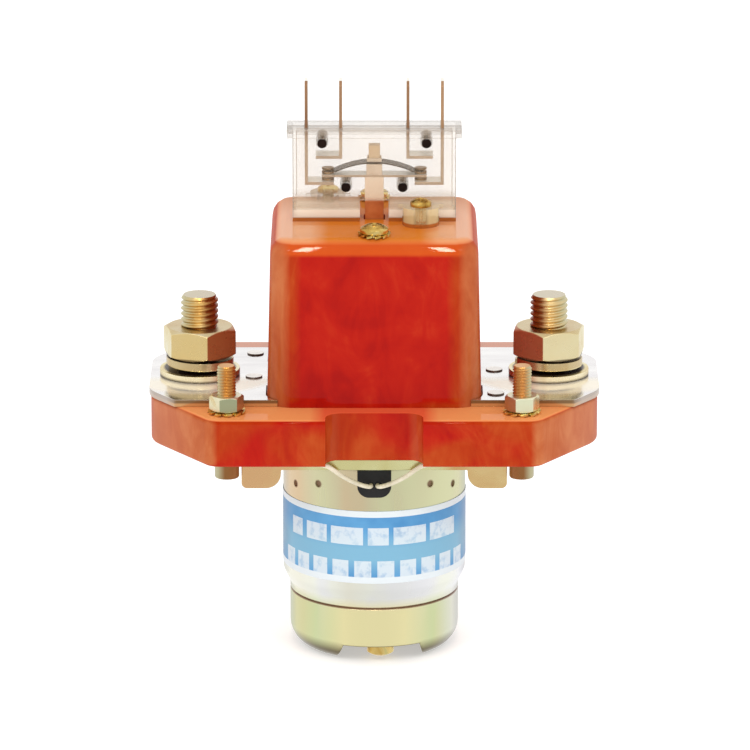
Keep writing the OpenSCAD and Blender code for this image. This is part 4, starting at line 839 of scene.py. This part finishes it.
def lock_washers(node, centres, bore, radius, thickness, teeth):
    """Washers with twisted outer teeth."""
    low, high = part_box(node)
    middle = (low.z + high.z) / 2
    bm = bmesh.new()
    per_tooth = 12
    count = teeth * per_tooth
    for cx, cy in centres:
        rings = []
        for r_share, top in ((0.0, 0), (0.55, 0), (1.0, 0), (1.0, 1), (0.55, 1), (0.0, 1)):
            half = thickness * (0.5 if r_share < 0.9 else 0.36)
            ring = []
            for i in range(count):
                along = (i % per_tooth) / per_tooth
                angle = 2 * math.pi * i / count
                in_tooth = 0.08 < along < 0.8
                outer = radius if in_tooth else radius * 0.8
                r = bore + (outer - bore) * r_share
                twist = (along - 0.44) * 1.5 * thickness * max(0.0, r_share - 0.55) / 0.45 if in_tooth else 0.0
                z = middle + (half if top else -half) + twist * 0.6
                z = min(max(z, low.z), high.z)
                ring.append((cx + r * math.cos(angle), cy + r * math.sin(angle), z))
            rings.append(ring)
        join(bm, ring_skin(rings + [rings[0]]))
    settle(piece(node + "_toothed", bm, 40.0), slot_of[node], "root", node)


def smooth_route(points, per_span=8):
    """Catmull-Rom curve through the points."""
    ends = [2 * points[0] - points[1]] + points + [2 * points[-1] - points[-2]]
    route = []
    for i in range(1, len(ends) - 2):
        a, b, c, d = ends[i - 1:i + 3]
        for k in range(per_span):
            t = k / per_span
            route.append(0.5 * ((2 * b) + (c - a) * t + (2 * a - 5 * b + 4 * c - d) * t ** 2
                                + (3 * b - a - 3 * c + d) * t ** 3))
    return route + [points[-1]]


def tube(route, radius, sides=14):
    """Tube along a route with a frame that doesn't twist."""
    normal = Vector((0, 0, 1))
    rings = []
    for i, point in enumerate(route):
        tangent = (route[min(i + 1, len(route) - 1)] - route[max(i - 1, 0)]).normalized()
        normal = (normal - tangent * normal.dot(tangent)).normalized()
        across = tangent.cross(normal)
        rings.append([point + radius * (math.cos(a) * normal + math.sin(a) * across)
                      for a in [2 * math.pi * k / sides for k in range(sides)]])
    return skin(rings)


# Route of the right lead in millimetres: out of the grommet, up past the yoke plate, along it, to the eyelet
LEAD_ROUTE = [(0.9, -21.5, 50.6), (0.9, -23.25, 50.6), (0.9, -24.95, 50.6), (1.5, -26.15, 50.8), (3.1, -27.35, 51.5),
              (5.2, -29.0, 52.8), (7.4, -31.0, 54.5), (9.4, -32.8, 56.3), (11.2, -33.6, 57.9), (13.2, -33.8, 58.9),
              (16.0, -33.7, 59.1), (20.0, -33.5, 59.1), (24.0, -33.5, 59.1), (28.0, -33.5, 59.1), (32.0, -33.4, 59.1),
              (33.8, -32.9, 59.2), (35.4, -32.5, 59.3)]
LEAD_R = 0.6 * MM


def coil_leads():
    """The two cream leads, each with the flat eyelet under its coil stud."""
    bore, rim, edge, chamfer = 2.55 * MM, 3.45 * MM, 3.6 * MM, 0.12 * MM
    section = ((bore, EYELET_LOW), (rim, EYELET_LOW), (edge, EYELET_LOW + chamfer), (edge, EYELET_TOP - chamfer),
               (rim, EYELET_TOP), (bore, EYELET_TOP), (bore, EYELET_LOW))
    for side, name in ((-1, "coil_lead_left"), (1, "coil_lead_right")):
        route = smooth_route([Vector((side * x, y, z)) * MM for x, y, z in LEAD_ROUTE])
        settle(piece(name + "_wire", tube(route, LEAD_R), 60.0), "lead_insulation", "root", name)
        rings = [circle(side * COIL_X, COIL_Y, z, r, 40) for r, z in section]
        settle(piece(name + "_eyelet", ring_skin(rings)), "fastener_gold", "root")


def coil_spring(node, mean_r, wire_r, turns):
    """Coil spring with closed ends, spanning its node's height and riding on its node's body."""
    low, high = (corner.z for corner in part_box(node))
    closed = 0.8
    count = 28 * turns
    route = []
    for i in range(count + 1):
        turn = turns * i / count
        if turn < closed:
            share = 0.5 * (2 * wire_r) * turn / closed
        elif turn > turns - closed:
            share = (high - low - 2 * wire_r) - 0.5 * (2 * wire_r) * (turns - turn) / closed
        else:
            t = (turn - closed) / (turns - 2 * closed)
            share = wire_r + t * (high - low - 4 * wire_r)
        a = 2 * math.pi * turn
        route.append(Vector((mean_r * math.cos(a), mean_r * math.sin(a), low + wire_r + share)))
    obj = piece(node + "_coil", tube(route, wire_r, 10), 60.0)
    settle(obj, "spring_steel", body_of[node], node)
    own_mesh(obj)


main_studs()
coil_studs()
coil_leads()
lock_washers("coil_lock_washers", [(-COIL_X, COIL_Y), (COIL_X, COIL_Y)], 2.5 * MM, 5.0 * MM, 0.8 * MM, 11)
lock_washers("cover_lock_washers", [(0.0, -20.0 * MM), (0.0, 20.0 * MM)], 2.05 * MM, 4.35 * MM, 0.8 * MM, 12)
coil_spring("return_spring", 3.7 * MM, 0.4 * MM, 8)
coil_spring("pressure_spring", 4.4 * MM, 0.6 * MM, 4)

# Width in millimetres of the rounding on each node's edges
for node, width in {
        "base_flange": 0.25, "housing_cover": 0.2, "terminal_plate_left": 0.18, "terminal_plate_right": 0.18,
        "plate_rivets": 0.12, "main_flat_washers": 0.25, "main_spring_washers": 0.22, "main_nuts": 0.14,
        "coil_nuts": 0.12, "yoke_plate": 0.3, "magnet_can": 0.12, "lead_grommet": 0.2, "bottom_cap": 0.2,
        "cover_screws": 0.1, "bottom_screws": 0.1, "yoke_screws": 0.1, "aux_screws": 0.08,
        "aux_front_cover": 0.12, "aux_rear_cover": 0.12, "aux_box_rivets": 0.12, "aux_plunger": 0.12,
        "aux_moving_bar": 0.12, "aux_bar_rivets": 0.1, "aux_leaf_cap": 0.15, "blade_contact_rivets": 0.1,
        "nc_blade_left": 0.12, "nc_blade_right": 0.12, "no_blade_left": 0.12, "no_blade_right": 0.12,
        "aux_leaf_spring": 0.05, "bridge_bar": 0.2, "armature_core": 0.15}.items():
    dressed(node, width)

for node, obj in frame["nodes"].items():
    paint(obj, slot_of[node], node)


# ---------------------------------------------------------------- floor, world and lamps
def floor():
    """Pale paper under the object, lit a little from within so that it stays white."""
    bm = bmesh.new()
    bmesh.ops.create_grid(bm, x_segments=1, y_segments=1, size=4.0)
    obj = piece("floor", bm)
    g = Graph("floor_paper", Roughness=0.9, Specular_IOR_Level=0.0)
    g.colour(g.mix(g.spread(g.noise(6.0, 2.0)), (0.86, 0.86, 0.86, 1.0), (0.88, 0.88, 0.88, 1.0)))
    g.set("Emission Color", (1.0, 1.0, 1.0, 1.0))
    g.set("Emission Strength", 0.42)
    obj.data.materials.append(g.material)
    obj.visible_glossy = False


def world():
    """White surroundings, a little darker in front and below."""
    made = bpy.data.worlds.new("studio")
    made.use_nodes = True
    scene.world = made
    nodes, links = made.node_tree.nodes, made.node_tree.links
    nodes.clear()

    def add(kind, **inputs):
        node = nodes.new(kind)
        for key, value in inputs.items():
            node.inputs[key.replace("_", " ")].default_value = value
        return node

    output = add("ShaderNodeOutputWorld")
    background = add("ShaderNodeBackground", Strength=1.0)
    place = add("ShaderNodeTexCoord")
    parts = add("ShaderNodeSeparateXYZ")
    shift = add("ShaderNodeMapRange", From_Min=-1.0)
    ramp = add("ShaderNodeValToRGB")
    below = add("ShaderNodeMapRange", From_Min=-1.0, From_Max=-0.5, To_Min=0.82, To_Max=1.0)
    both = add("ShaderNodeVectorMath")
    both.operation = "SCALE"
    levels = ((0.0, 0.78), (0.1, 0.8), (0.25, 0.88), (0.5, 0.95), (1.0, 1.0))
    fill_ramp(ramp.color_ramp, [(at, (level, level, level, 1.0)) for at, level in levels])
    for source, target in ((place.outputs["Generated"], parts.inputs["Vector"]),
                           (parts.outputs["Y"], shift.inputs["Value"]),
                           (shift.outputs["Result"], ramp.inputs["Fac"]),
                           (parts.outputs["Z"], below.inputs["Value"]),
                           (ramp.outputs["Color"], both.inputs[0]),
                           (below.outputs["Result"], both.inputs["Scale"]),
                           (both.outputs["Vector"], background.inputs["Color"]),
                           (background.outputs["Background"], output.inputs["Surface"])):
        links.new(source, target)


def lamp(name, location, size, power, target=(0, 0, 0.08), tone=(1.0, 1.0, 1.0)):
    """Rectangular lamp of a size in metres and a power in watts, turned towards its target."""
    data = bpy.data.lights.new(name, "AREA")
    data.shape = "RECTANGLE"
    data.size, data.size_y = size
    data.energy = power
    data.color = tone
    obj = bpy.data.objects.new(name, data)
    obj.location = location
    obj.rotation_euler = look(location, target)
    scene.collection.objects.link(obj)


floor()
world()
lamp("lamp_left", (-0.55, -1.0, 0.95), (0.30, 0.12), 1.35)
lamp("lamp_right", (0.55, -1.0, 0.95), (0.30, 0.12), 1.35)
# Narrow strips whose reflections are the two short highlights on the rounded front edge of the roof
for side in (-1, 1):
    lamp("strip_%d" % side, (side * 0.0343, -0.889, 0.948), (0.008, 0.66), 1.2, (side * 0.0203, -0.025, 0.115),
         (1.0, 0.9, 0.74))
scene.view_settings.view_transform = "Standard"
